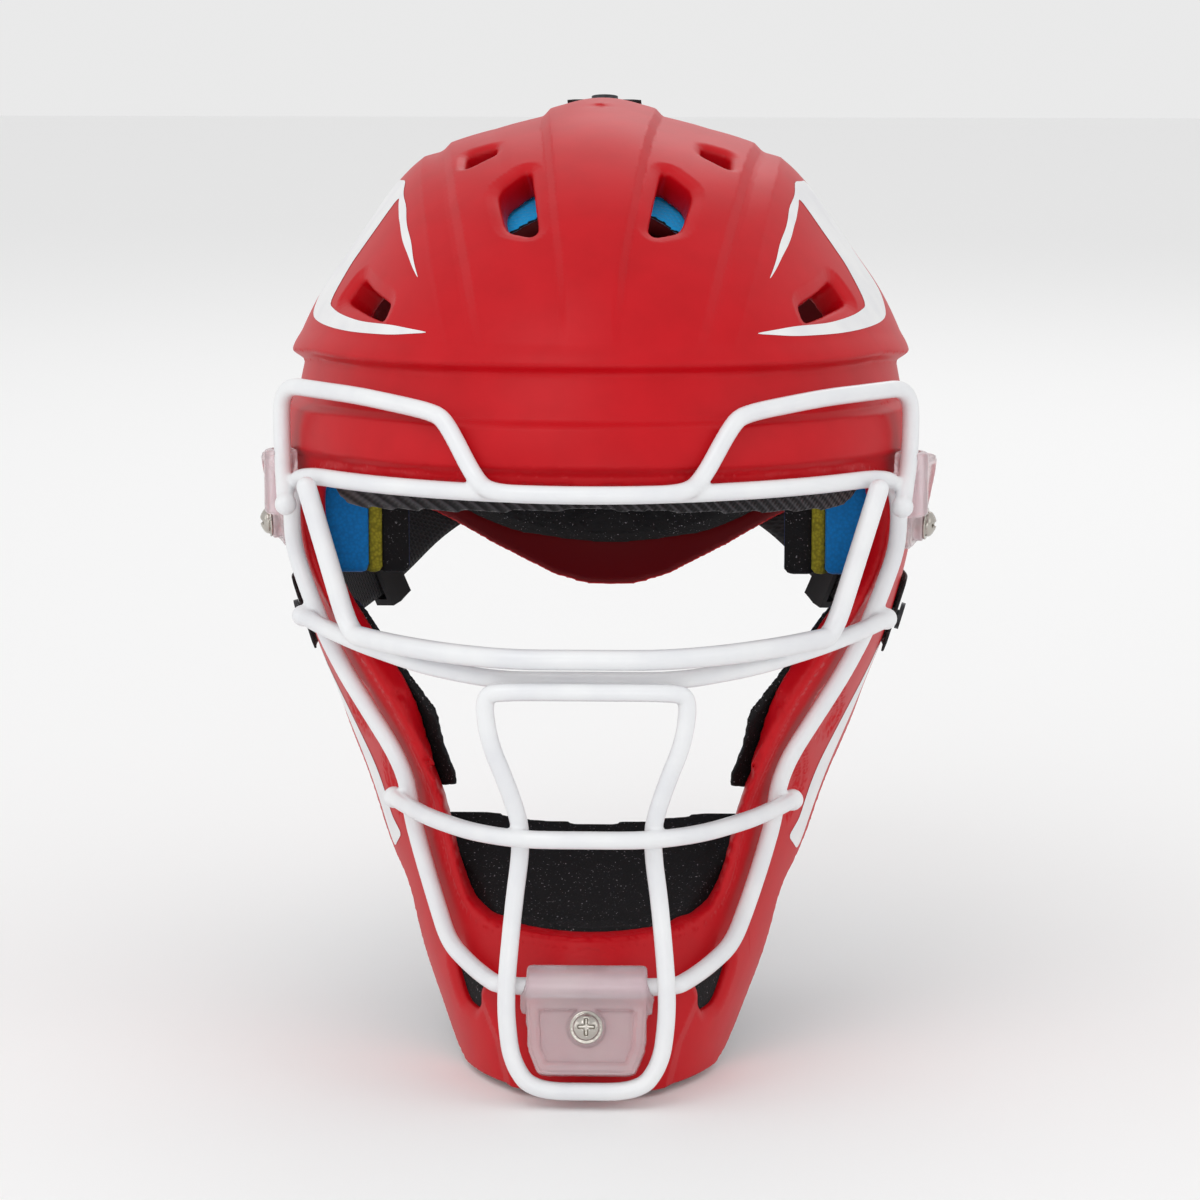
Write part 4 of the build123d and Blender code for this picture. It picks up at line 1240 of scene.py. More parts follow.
@dataclass
class RearPlate:
    """Separate plate over the back of the head.

    Lines are pairs seen from the side (y, z) or from behind (x, z); the ribs' is their height and place.
    """

    skin: Skin
    wall: float = 3.0
    wall_round: float = 1.0
    collar: float = 6.0
    collar_wall: float = 2.0
    collar_round: float = 1.2
    edge_round: float = 2.4
    voxel: float = 1.1
    deepest: float = 7.0
    edge: Line = (
        (99, 122), (82, 88), (67, 55), (59, 22), (62, 7), (80, -4), (98, -18), (110, -46), (150, -80),
    )
    low_line: Line = (
        (0, -43.5), (10, -43), (20.7, -39.5), (31, -34), (42, -27.7), (59.6, -15.7), (75, -7), (90, -2),
    )
    low_slope: float = 0.85
    vent: Vent = Vent(((19, 50), (42, 55), (44, 45), (21, 37)), Seen.BACK, 1.2, 4.0)
    vent_edge: float = 0.3
    rib_line: Line = ((-40, 24), (0, 30), (60, 30), (110, 18))
    rib_profile: Line = ((-3, 1.0), (-0.8, 0.9), (1.6, -0.2), (3.5, -0.2), (14, 0))
    rib_zone: Pair = (-40, -20)

    def __post_init__(self) -> None:
        """Puts the outlines on the skin."""
        self.vent_outline = SkinOutline(self.skin, self.vent.outline, self.vent.seen)
        edge = rounded(self.edge, 4, closed=False, share=0.42)
        self.region = np.array([(119, 160), *map(tuple, edge), (220, -80), (220, 160)])

    def distance(self, x: Array, y: Array, z: Array) -> Array:
        """The plate's field."""
        across, out = np.abs(x), self.skin.distance(x, y, z)
        vents = self.vent_outline.distance(across, y, z)
        rib = along(across - along(z, self.rib_line), self.rib_profile) * ramp(*self.rib_zone, z)
        outer = out - rib + self.vent.sunk * ramp(self.vent.around, self.vent_edge, vents)
        wall = smooth_max(outer, -(out + self.wall), self.wall_round)
        collar = smooth_max(outer, -(out + self.collar), self.collar_round)
        collar = smooth_max(collar, vents - self.collar_wall, self.collar_round)
        plate = smooth_max(smooth_min(wall, collar, self.collar_round), -vents, self.collar_round)
        plate = smooth_max(plate, polygon_distance(y, z, self.region), self.edge_round)
        return smooth_max(plate, self.low_slope * (along(across, self.low_line) - z), self.edge_round)

    def _rough(self, x: Array, y: Array, z: Array) -> Array:
        """Where the field can be near zero."""
        out = self.skin.distance(x, y, z)
        return np.maximum(np.maximum(out - 2, -(out + self.deepest)), -1)

    def build(self) -> Piece:
        """Makes the plate."""
        low, high = (-102, 50, -72), (102, 140, 130)
        solid = Solid("rear_plate_body", self.distance, low, high, self.voxel, self._rough)
        return place(surface(solid), PLATE_RED, Body.PLATE, ["rear_plate"])


# Cage
class Wire:
    """Round wire along a smooth line, as a field."""

    STEPS = 9
    BEND = 11.0
    BEND_SHARE = 0.45
    FAR = 9.0

    def __init__(self, points: Route, radius: float, closed: bool) -> None:
        """Samples the line.

        Args:
            points: corners of the line, in millimetres.
            radius: of the wire.
            closed: whether it is a ring.
        """
        line = rounded(points, self.STEPS, closed, self.BEND_SHARE, self.BEND)
        if closed:
            line = np.vstack([line, line[:1]])
        self.radius = radius
        self.runs = [line[k:k + self.STEPS] for k in range(0, len(line) - 1, self.STEPS - 1)]

    def distance(self, x: Array, y: Array, z: Array) -> Array:
        """Distance from the wire's surface."""
        result = np.full(x.shape, self.FAR)
        for run in self.runs:
            low, high = run.min(0) - self.radius - self.FAR, run.max(0) + self.radius + self.FAR
            near = (x > low[0]) & (x < high[0]) & (y > low[1]) & (y < high[1]) & (z > low[2]) & (z < high[2])
            if not near.any():
                continue
            places = np.stack([x[near], y[near], z[near]], 1)
            best = np.full(len(places), np.inf)
            for start, end in zip(run[:-1], run[1:]):
                step = end - start
                part = np.clip(((places - start) @ step) / max(step @ step, 1e-9), 0, 1)
                best = np.minimum(best, ((places - start - part[:, None] * step) ** 2).sum(1))
            result[near] = np.minimum(result[near], np.sqrt(best) - self.radius)
        return result


def mirrored(half: Route) -> Route:
    """Whole line from its right half, which ends near the middle plane."""
    return (*half, *[(-x, y, z) for x, y, z in reversed(half)])


@dataclass
class Cage:
    """Welded wire face cage with a powder coat.

    Each line is the right half of a wire, from its free end or the middle plane.

    Args:
        wire: thickness of the wires.
        eye_wire: thickness of the bar below the eyes.
        shrink: how much less than that their radius comes out.
        weld: fillet where two wires meet.
        ball: radius of the round ends.
        ball_round: fillet behind them.
        voxel: size of the cage's mesh.
    """

    wire: float = 5.8
    eye_wire: float = 6.6
    shrink: float = 0.12
    weld: float = 1.5
    ball: float = 3.5
    ball_round: float = 0.8
    voxel: float = 0.95
    perimeter: Route = (
        (10.5, -135.7, 28.3), (31.5, -130.9, 28.2), (48, -123.5, 28), (65.1, -111.6, 27.5),
        (78.8, -97.9, 26.9), (89.2, -83.4, 26.1), (95.8, -71.7, 23.6), (97.5, -67.7, 16.5),
        (97.8, -66.6, 9.6), (97, -67.4, 0), (92, -73.1, -13), (86.5, -76.6, -25.9), (79.5, -81.7, -38.1),
        (71.5, -85.5, -50.1), (63.5, -89.2, -62), (59.5, -89, -71.9), (58, -87.5, -84.1),
        (54.5, -90.9, -96.1), (50, -97.2, -109), (45, -111.8, -119.1), (37.5, -125, -123),
        (31.5, -137.3, -124.3), (27, -145.5, -124.6),
    )
    upper_loop: Route = (
        (98.4, -80.5, 16.5), (101.6, -57, 31), (101.6, -57, 52), (72.3, -97.4, 53.6), (48.3, -117.8, 51.4),
        (44.1, -121.3, 48.4), (34.6, -129.6, 31.4), (28.9, -136.9, 29), (10.5, -140.6, 29),
    )
    eye_bar: Route = (
        (90.5, -93.1, 24.1), (76, -107.1, -20.6), (69.9, -115.6, -20.4), (59.3, -128.5, -20.2),
        (41.8, -144.3, -19.9), (22.8, -154.4, -19.7),
    )
    cheek_bar: Route = (
        (93.8, -74.7, -20.7), (86.3, -87.3, -22), (73.1, -106.4, -23.8), (51.6, -129.8, -26.3),
        (28.1, -144.6, -28),
    )
    mouth_bar: Route = (
        (64, -86.1, -77.8), (58.9, -100.2, -77.4), (50, -120.5, -76.9), (35.2, -143.2, -76.3),
        (19.2, -155.4, -75.8),
    )
    centre_loop: Route = (
        (25, -155.5, -29.5), (31.5, -153.5, -30.9), (30, -153, -45), (24.5, -151.5, -59),
        (20.5, -148.9, -71.9), (20.5, -147.8, -82), (22.5, -147.6, -97), (24.7, -150.5, -120),
        (25, -151.3, -132), (23.3, -152.5, -146.6), (16.8, -154.7, -155.7),
    )

    def __post_init__(self) -> None:
        """Lays out the wires."""
        radius = self.wire / 2 - self.shrink
        self.wires = [
            Wire(mirrored(self.perimeter), radius, True),
            Wire(mirrored(self.upper_loop), radius, False),
            Wire(mirrored(self.eye_bar), self.eye_wire / 2 - self.shrink, False),
            Wire(mirrored(self.cheek_bar), radius, False),
            Wire(mirrored(self.mouth_bar), radius, False),
            Wire(mirrored(self.centre_loop), radius, True),
        ]
        self.tips = [row[0] for row in (self.upper_loop, self.cheek_bar, self.mouth_bar)]

    def distance(self, x: Array, y: Array, z: Array) -> Array:
        """The welded cage's field."""
        cage = np.full(x.shape, Wire.FAR)
        for wire in self.wires:
            cage = smooth_min(cage, wire.distance(x, y, z), self.weld)
        for tip_x, tip_y, tip_z in self.tips:
            ball = np.sqrt((np.abs(x) - tip_x) ** 2 + (y - tip_y) ** 2 + (z - tip_z) ** 2) - self.ball
            cage = smooth_min(cage, ball, self.ball_round)
        return cage

    def build(self) -> Piece:
        """Makes the cage."""
        solid = Solid("cage_welded", self.distance, (-110, -164, -164), (110, -46, 62), self.voxel)
        nodes = ["perimeter_wire", "upper_loop", "eye_bar", "cheek_bar", "centre_loop", "mouth_bar"]
        return place(surface(solid), CAGE_WHITE, Body.SHELL, [f"cage_{node}" for node in nodes])


# Clips
@dataclass(frozen=True)
class Seat:
    """Local frame on the skin: a point, outward, and the plate's own right and up."""

    at: Spot
    out: Spot
    right: Spot

    def local(self, x: Array, y: Array, z: Array) -> tuple[Array, Array, Array]:
        """Coordinates right, up and outward from the point."""
        out, right = np.array(self.out), np.array(self.right)
        right = right / np.linalg.norm(right)
        up = np.cross(out, right)
        place_from = np.stack([x - self.at[0], y - self.at[1], z - self.at[2]])
        return tuple(np.tensordot(axis, place_from, 1) for axis in (right, up, out))


def rounded_slab(height: Array, flat: Array, low: float, high: float, edge: float) -> Array:
    """Plate of an outline's distance between two heights, its edges rounded."""
    thick = np.abs(height - (low + high) / 2) - (high - low) / 2
    return smooth_max(flat, thick, edge)


@dataclass
class Clip:
    """What both kinds of clip share.

    Args:
        skin: the outer form, which their underside follows.
        thickness: of the plate above its seat.
        root: how far the plate starts below its seat, before the skin cuts it.
        roll: radius of the roll round the wire.
        wire_bore: radius of its bore.
        ring: radius of the screw's ring.
        ring_wall: how far the boss reaches past that ring.
        screw_bore: radius of the screw's bore.
        border: width of the raised edge round the plate.
        voxel: size of the clip's mesh.
    """

    skin: Skin
    thickness: float = 5.5
    root: float = 6.0
    roll: float = 5.9
    roll_round: float = 1.8
    wire_bore: float = 3.0
    wire_round: float = 0.4
    ring: float = 5.25
    ring_wall: float = 0.6
    boss_round: float = 1.0
    boss_join: float = 1.0
    screw_bore: float = 2.0
    screw_round: float = 0.3
    skin_gap: float = 0.3
    skin_round: float = 0.5
    border: float = 3.4
    dish_cut: float = 0.8
    voxel: float = 0.5

    def _drilled(self, clip: Array, from_wire: Array, from_screw: Array, above: Array) -> Array:
        """Adds the screw's boss and cuts both bores.

        Args:
            clip: the plate and its roll.
            from_wire: distance from the axis of the roll.
            from_screw: distance from the axis of the screw.
            above: height above the screw's seat.

        Returns:
            The clip with them.
        """
        half = self.thickness / 2
        wall = from_screw - self.ring - self.ring_wall
        boss = smooth_max(wall, np.abs(above - half) - half, self.boss_round)
        clip = smooth_min(clip, boss, self.boss_join)
        clip = smooth_max(clip, self.wire_bore - from_wire, self.wire_round)
        bore = smooth_max(from_screw - self.screw_bore, -above, self.screw_round)
        return smooth_max(clip, -bore, self.screw_round)

    def _seated(self, clip: Array, x: Array, y: Array, z: Array) -> Array:
        """Cuts the underside along the skin."""
        return smooth_max(clip, self.skin_gap - self.skin.distance(x, y, z), self.skin_round)


@dataclass
class SideClip(Clip):
    """Clip that holds the cage at a temple: a plate, and a roll round the pin."""

    seat: Seat = Seat((101.19, -41.5, 12.5), (0.9741, -0.2219, -0.043), (0.2221, 0.975, 0))
    screw: Seat = Seat((101.78, -36.62, 4.75), (0.9806, -0.1848, -0.0661), (0.1852, 0.9827, 0))
    outline: Line = ((-19.5, 15.5), (15, 15.5), (19.5, 9), (18, -5), (8, -16.5), (-6, -16.5), (-17, -3))
    corner_share: float = 0.3
    plate_round: float = 3.2
    tilt: float = 0.14
    tilt_from: float = 4.0
    pin: Pair = (101.6, -57.0)
    roll_zone: Pair = (10.0, 31.0)
    roll_join: float = 3.0
    dish: float = 0.9
    dish_round: float = 1.2
    dish_from_roll: float = 2.0
    dish_end_round: float = 1.0

    def distance(self, x: Array, y: Array, z: Array) -> Array:
        """The clip's field."""
        x = np.abs(x)
        u, v, w = self.seat.local(x, y, z)
        flat = polygon_distance(u, v, rounded(self.outline, 6, share=self.corner_share), 30)
        leaned = w - self.tilt * (v - self.tilt_from)
        plate = rounded_slab(leaned, flat, -self.root, self.thickness, self.plate_round)
        from_pin = np.hypot(x - self.pin[0], y - self.pin[1])
        low, high = self.roll_zone
        middle, half = (low + high) / 2, (high - low) / 2
        roll = smooth_max(from_pin - self.roll, np.abs(z - middle) - half, self.roll_round)
        clip = smooth_min(plate, roll, self.roll_join)
        dish = smooth_max(flat + self.border, self.thickness - self.dish - leaned, self.dish_round)
        dish = smooth_max(dish, self.dish_from_roll + self.roll - from_pin, self.dish_end_round)
        clip = smooth_max(clip, -dish, self.dish_cut)
        a, b, c = self.screw.local(x, y, z)
        return self._seated(self._drilled(clip, from_pin, np.hypot(a, b), c), x, y, z)

    def build(self) -> list[Piece]:
        """Makes both clips."""
        pieces = []
        for name, low, high in (("right", 88, 118), ("left", -118, -88)):
            box = (low, -68, -8), (high, -14, 34)
            solid = Solid(f"side_clip_{name}_body", self.distance, *box, self.voxel)
            pieces.append(place(surface(solid), CLIP_CLEAR, Body.SHELL, [f"side_clip_{name}"]))
        return pieces


@dataclass
class ChinClip(Clip):
    """Square clip that holds the ring at the chin: a plate with an inner frame and a roll."""

    thickness: float = 6.0
    roll: float = 6.3
    boss_join: float = 0.8
    border: float = 4.0
    voxel: float = 0.45
    seat: Seat = Seat((0, -147.2, -137.6), (0, -0.9476, 0.3193), (1, 0, 0))
    outline: Line = ((-20, 13), (-19, -7), (-15.5, -15.5), (15.5, -15.5), (19, -7), (20, 13))
    corner_share: float = 0.16
    plate_round: float = 2.4
    roll_at: Pair = (-145.5, -124.2)
    roll_half: float = 18.75
    roll_join: float = 2.5
    dish: float = 2.0
    dish_round: float = 1.6
    dish_top: float = 5.5
    dish_top_round: float = 1.5

    def distance(self, x: Array, y: Array, z: Array) -> Array:
        """The clip's field."""
        u, v, w = self.seat.local(x, y, z)
        flat = polygon_distance(u, v, rounded(self.outline, 6, share=self.corner_share), 30)
        plate = rounded_slab(w, flat, -self.root, self.thickness, self.plate_round)
        from_wire = np.hypot(y - self.roll_at[0], z - self.roll_at[1])
        roll = smooth_max(from_wire - self.roll, np.abs(x) - self.roll_half, self.roll_round)
        clip = smooth_min(plate, roll, self.roll_join)
        dish = smooth_max(flat + self.border, self.thickness - self.dish - w, self.dish_round)
        clip = smooth_max(clip, -smooth_max(dish, v - self.dish_top, self.dish_top_round), self.dish_cut)
        return self._seated(self._drilled(clip, from_wire, np.hypot(u, v), w), x, y, z)

    def build(self) -> Piece:
        """Makes the clip."""
        solid = Solid("chin_clip_body", self.distance, (-24, -160, -156), (24, -128, -114), self.voxel)
        return place(surface(solid), CLIP_CLEAR, Body.SHELL, ["chin_clip"])


@dataclass
class Screws:
    """Pan-head screws with a cross slot and a spring ring.

    Args:
        name: name of the piece.
        node: CAD node that they stand for.
        seat: frame on the skin, for the right-hand side.
        height: of the head's seat above the skin.
        low: lowest corner of the box that they lie in.
        high: its highest corner.
        head: radius of the head.
        rise: its height.
        bend: how fast the dome falls away from its top.
        slot_half: half the length of a slot.
        slot_width: half its width.
        slot_floor: height of its floor above the head's seat.
        ring: radius of the spring ring.
        ring_half: half its thickness.
        shank: radius of the shank.
        length: of the shank.
        voxel: size of the mesh.
    """

    name: str
    node: str
    seat: Seat
    height: float
    low: Spot
    high: Spot
    head: float = 4.2
    head_round: float = 0.7
    rise: float = 3.0
    bend: float = 0.11
    slot_half: float = 2.7
    slot_width: float = 0.6
    slot_floor: float = 1.0
    slot_round: float = 0.25
    ring: float = 5.2
    ring_half: float = 0.4
    shank: float = 2.0
    length: float = 12.0
    voxel: float = 0.34

    def distance(self, x: Array, y: Array, z: Array) -> Array:
        """The screws' field."""
        a, b, c = self.seat.local(np.abs(x), y, z)
        radial, above = np.hypot(a, b), c - self.height
        dome = above - self.rise + self.bend * radial**2
        head = smooth_max(radial - self.head, np.maximum(dome, -above), self.head_round)
        slots = np.minimum(
            np.maximum(np.abs(a) - self.slot_half, np.abs(b) - self.slot_width),
            np.maximum(np.abs(b) - self.slot_half, np.abs(a) - self.slot_width),
        )
        head = smooth_max(head, -np.maximum(slots, self.slot_floor - above), self.slot_round)
        ring = np.abs(above + self.ring_half) - self.ring_half
        ring = smooth_max(radial - self.ring, ring, self.ring_half)
        shank = np.maximum(radial - self.shank, np.abs(above + self.length / 2) - self.length / 2)
        return np.minimum(np.minimum(head, ring), shank)

    def build(self) -> Piece:
        """Makes them."""
        solid = Solid(self.name, self.distance, self.low, self.high, self.voxel)
        return place(surface(solid), NICKEL, Body.SHELL, [self.node])


# Pads
class Drawn(Enum):
    """Plane that a pad's outline is drawn in."""

    FRONT = "x across, z up"
    TOP = "x across, y back"
    SIDE = "y back, z up"


@dataclass
class Lining:
    """Foam pad against the inside of the skin, thinner toward its edges.

    Args:
        name: name of the piece, after that of its CAD node.
        skin: the outer form.
        outline: corners in its plane, for the right-hand side.
        drawn: that plane.
        near: depth of the face against the shell.
        thickness: at its middle.
        finish: its material.
        body: what it rides on.
        slot: record's material slot; not used.
        one_side: 1 right, -1 left, 0 across the middle plane.
        crown: share of its thickness lost at its edges.
        soft: radius of its edges.
        inner_limit: lowest height that a pad drawn from above reaches.
        half_width: how far a pad across the middle plane reaches to each side.
        cut: another field that it stays out of.
        voxel: size of its mesh.
    """

    name: str
    skin: Skin
    outline: Line
    drawn: Drawn
    near: float
    thickness: float
    finish: Finish
    body: Body
    slot: str
    one_side: int = 0
    crown: float = 0.35
    crown_zone: Pair = (1.0, -20.0)
    soft: float = 6.0
    inner_limit: float = 0.0
    half_width: float = math.inf
    apart: float = 12.0
    front_limit: float = -55.0
    cut: Field | None = None
    cut_round: float = 1.5
    fill: float = 0.85
    voxel: float = 1.4

    def __post_init__(self) -> None:
        """Rounds the outline."""
        points = list(self.outline)
        if self.one_side == 0 and self.drawn is not Drawn.SIDE:
            points += [(-a, b) for a, b in reversed(points) if a > 0.01]
        self.line = rounded(points, 6, share=0.32)

    def distance(self, x: Array, y: Array, z: Array) -> Array:
        """The pad's field."""
        side = x * (self.one_side or 1)
        u = y if self.drawn is Drawn.SIDE else side
        v = y if self.drawn is Drawn.TOP else z
        region = polygon_distance(u, v, self.line)
        if self.drawn is Drawn.SIDE:
            limit = np.abs(x) - self.half_width if self.one_side == 0 else self.apart - side
            region = smooth_max(region, limit, 6.0)
        if self.drawn is Drawn.TOP:
            region = smooth_max(region, self.inner_limit - z, 2.0)
        if self.drawn is Drawn.FRONT:
            region = smooth_max(region, y - self.front_limit, 4.0)
        out = self.skin.distance(x, y, z)
        swell = 1 - self.crown * (1 - ramp(*self.crown_zone, region))
        pad = smooth_max(out + self.near, -(out + self.near + self.thickness * swell), self.soft)
        pad = smooth_max(pad, region, self.soft)
        return pad if self.cut is None else smooth_max(pad, -self.cut(x, y, z), self.cut_round)

    def build(self) -> Piece:
        """Makes the pad."""
        low = {1: -2, -1: -112, 0: -112}[self.one_side]
        high = {1: 112, -1: 2, 0: 112}[self.one_side]
        bottom = self.inner_limit if self.drawn is Drawn.TOP else -170
        corners = (low, -160, bottom), (high, 140, 142)
        solid = Solid(f"{self.name}_cushion", self.distance, *corners, self.voxel)
        return place(surface(solid), self.finish, self.body, [self.name])


@dataclass
class EarPads:
    """Three foam layers between the head and the shell at each ear.

    Args:
        skin: the outer form.
        wall: the shell's wall, which they stay out of.
        half_width: of the head's outline at their height.
        half_length: the same toward the back.
        black: thickness of the layer at the head.
        gap: between the layers.
        yellow: thickness of the middle layer.
        near: depth of the blue layer's face against the shell.
    """

    skin: Skin
    wall: Field
    half_width: float = 73.6
    half_length: float = 85.0
    black: float = 8.4
    gap: float = 0.15
    yellow: float = 3.7
    near: float = 3.5
    front: float = -50.0
    back: float = 36.0
    low: float = -11.0
    high: float = 46.0
    corner: float = 3.0
    crown_zone: Pair = (1.0, -14.0)
    apart: float = 30.0
    fill: float = 0.9
    voxel: float = 1.1

    def _oval(self, x: Array, y: Array, grow: float) -> Array:
        """Distance outward from the head's outline grown by a little."""
        a, b = self.half_width + grow, self.half_length + grow
        level = np.hypot(x / a, y / b) + 1e-9
        slope = np.hypot(x / a**2, y / b**2) / level + 1e-9
        return (level - 1) / slope

    def _region(self, y: Array, z: Array) -> Array:
        """Distance from the pad's outline seen from the side."""
        du = np.abs(y - (self.front + self.back) / 2) - (self.back - self.front) / 2 + self.corner
        dv = np.abs(z - (self.low + self.high) / 2) - (self.high - self.low) / 2 + self.corner
        outside = np.hypot(np.maximum(du, 0), np.maximum(dv, 0))
        return outside + np.minimum(np.maximum(du, dv), 0) - self.corner

    def _layer(self, side: int, inner: float, outer: float | None, soft: float, crown: float) -> Field:
        """Field of one layer between two grown outlines, or between one and the shell."""

        def layer(x: Array, y: Array, z: Array) -> Array:
            """The layer's field."""
            region = self._region(y, z)
            pulled = crown * (1 - ramp(*self.crown_zone, region))
            low = -self._oval(x, y, inner) + pulled
            if outer is None:
                high = smooth_max(self.skin.distance(x, y, z) + self.near, -self.wall(x, y, z), 0.6)
            else:
                high = self._oval(x, y, outer)
            faces = smooth_max(low, high, soft)
            return smooth_max(smooth_max(faces, region, soft), self.apart - x * side, 1.0)

        return layer

    def build(self) -> list[Piece]:
        """Makes the six layers."""
        yellow = self.black + self.gap + self.yellow
        layers = (
            ("black", 0.0, self.black, 1.6, 0.8, SPECKLED, "foam_black"),
            ("yellow", self.black + self.gap, yellow, 1.0, 0.0, YELLOW, "foam_yellow"),
            ("blue", yellow + self.gap, None, 1.6, 0.0, AZURE, "pad_blue"),
        )
        pieces = []
        for colour, inner, outer, soft, crown, finish, slot in layers:
            for side, name in ((1, "right"), (-1, "left")):
                low, high = (50, 108) if side > 0 else (-108, -50)
                solid = Solid(
                    f"side_pad_{colour}_{name}_foam", self._layer(side, inner, outer, soft, crown),
                    (low, self.front - 4, self.low - 4), (high, self.back + 4, self.high + 4), self.voxel,
                )
                node = f"side_pad_{colour}_{name}"
                pieces.append(place(surface(solid), finish, Body.SHELL, [node]))
        return pieces


@dataclass
class ChinPad:
    """Foam chin cup: a dished shelf and a lining behind the chin guard.

    Args:
        skin: the outer form.
        cut: field that it stays out of.
        region: outline seen from the side (y, z) that it stays inside of.
        near: depth of its face against the shell.
        thickness: of the lining.
        shelf: thickness of the shelf.
        top: line of the shelf's top, seen from the side.
        lining: lowest and highest place of the lining, and how far back it reaches.
        dish: how deep the shelf's middle is sunk.
    """

    skin: Skin
    cut: Field
    region: Array
    near: float = 3.5
    thickness: float = 9.0
    shelf: float = 9.0
    top: Line = ((-117.5, -108.9), (-104.3, -110.5), (-84.5, -101.7), (-58.1, -85.9))
    lining: Spot = (-150.6, -113.4, -72.6)
    dish: float = 3.5
    dish_half: float = 34.0
    soft: float = 4.0
    join: float = 3.0
    edge_gap: float = 1.2
    edge_round: float = 2.5
    cut_round: float = 1.5
    fill: float = 0.85
    voxel: float = 1.3

    def distance(self, x: Array, y: Array, z: Array) -> Array:
        """The pad's field."""
        out = self.skin.distance(x, y, z)
        under = [(y_at, z_at - self.shelf) for y_at, z_at in reversed(self.top)]
        profile = rounded([*self.top, *under], 4, share=0.2)
        sunk = z + self.dish * (1 - np.clip(np.abs(x) / self.dish_half, 0, 1) ** 2)
        shelf = smooth_max(polygon_distance(y, sunk, profile), out + self.near, self.soft)
        low, high, back = self.lining
        walls = smooth_max(out + self.near, -(out + self.near + self.thickness), self.soft)
        ends = smooth_max(np.abs(z - (low + high) / 2) - (high - low) / 2, y - back, self.soft)
        pad = smooth_min(shelf, smooth_max(walls, ends, self.soft), self.join)
        pad = smooth_max(pad, polygon_distance(y, z, self.region) + self.edge_gap, self.edge_round)
        return smooth_max(pad, -self.cut(x, y, z), self.cut_round)

    def build(self) -> Piece:
        """Makes the pad."""
        solid = Solid("chin_pad_cushion", self.distance, (-72, -150, -156), (72, -48, -78), self.voxel)
        return place(surface(solid), BLACK_FOAM, Body.SHELL, ["chin_pad"])


# Straps
@dataclass
class Strap:
    """Woven strap along the outside of the helmet, stretching between shell and plate.

    Args:
        name: CAD node that it stands for.
        centre: places along its middle line, in millimetres, above the skin.
        across: direction of its width at each place.
        normal: outward direction at each place.
        start: where it leaves the shell; not used.
        end: where it meets the plate; not used.
        selvedge: how much thinner its two edges are, as a share.
    """

    name: str
    centre: Array
    across: Array
    normal: Array
    start: Spot
    end: Spot
    width: float = 25.0
    thickness: float = 1.1
    columns: int = 10
    selvedge: float = 0.35

    def build(self) -> Piece:
        """Makes the strap."""
        steps = np.linspace(-0.5, 0.5, self.columns + 1)
        top, bottom = [], []
        for share in steps:
            line = self.centre + self.across * share * self.width
            half = self.thickness / 2 * (1 - self.selvedge * (share in (steps[0], steps[-1])))
            top.append(line + self.normal * half)
            bottom.append(line - self.normal * half)
        ring = np.stack(top + bottom[::-1], 1)
        rows, around = ring.shape[:2]
        points = ring.reshape(-1, 3)
        quads = []
        for row in range(rows - 1):
            for k in range(around):
                following = (k + 1) % around
                quads.append((row * around + k, row * around + following,
                              (row + 1) * around + following, (row + 1) * around + k))
        for row in (0, rows - 1):
            for k in range(self.columns):
                cap = (row * around + k, row * around + k + 1,
                       row * around + around - 2 - k, row * around + around - 1 - k)
                quads.append(cap if row else cap[::-1])
        thing = mesh_object(f"{self.name}_webbing", points, np.array(quads))
        thing.data.materials.append(WEBBING.material())
        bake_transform(thing)
        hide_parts(self.name)
        return thing


@dataclass
class Straps:
    """The two lower straps and the strap over the crown."""

    skin: Skin
    lift: float = 1.35
    half: float = 12.5
    low_line: Line = (
        (-28.4, -28.0), (-20.1, -28.5), (20.0, -30.9), (50.0, -30.0), (72.0, -26.6), (90.0, -19.9),
        (108.0, -9.1), (116.3, -4.1),
    )
    low_gap: Route = ((98, 26, -31), (86, 68, -27))
    top_gap: Route = ((0, 60, 131), (0, 90, 107))
    top_front: float = 38.5
    top_back: float = 115.0
    top_places: int = 24
    search: Pair = (20.0, 130.0)
    halvings: int = 26

    def _lower(self, side: int, name: str) -> Strap:
        """One lower strap."""
        line = rounded(self.low_line, 5, closed=False, share=0.4)
        y, z = line[:, 0], line[:, 1]

        def on_skin(height: Array) -> Array:
            """Points above the skin at a height."""
            near, far = [np.full(y.shape, reach) for reach in self.search]
            for _ in range(self.halvings):
                middle = (near + far) / 2
                inside = self.skin.distance(middle, y, height) < self.lift
                near, far = np.where(inside, middle, near), np.where(inside, far, middle)
            return np.stack([(near + far) / 2, y, height], 1)

        centre, upper, lower = on_skin(z), on_skin(z + self.half), on_skin(z - self.half)
        across = (upper - lower) / np.linalg.norm(upper - lower, axis=1)[:, None]
        normal = np.array([self.skin.normal(point) for point in centre])
        flip = np.array([side, 1, 1])
        gap = [(side * at[0], at[1], at[2]) for at in self.low_gap]
        return Strap(f"lower_strap_{name}", centre * flip, across * flip, normal * flip, *gap)

    def _top(self) -> Strap:
        """The strap over the crown."""
        y = np.linspace(self.top_front, self.top_back, self.top_places)
        centre = np.array([self.skin.from_top(0, at) for at in y])
        normal = np.array([self.skin.normal(point) for point in centre])
        centre = centre + normal * self.lift
        across = np.tile(np.array([1.0, 0, 0]), (len(y), 1))
        return Strap("top_strap", centre, across, normal, *self.top_gap)

    def build(self) -> list[Piece]:
        """Makes the three straps."""
        return [strap.build() for strap in (self._lower(1, "right"), self._lower(-1, "left"), self._top())]


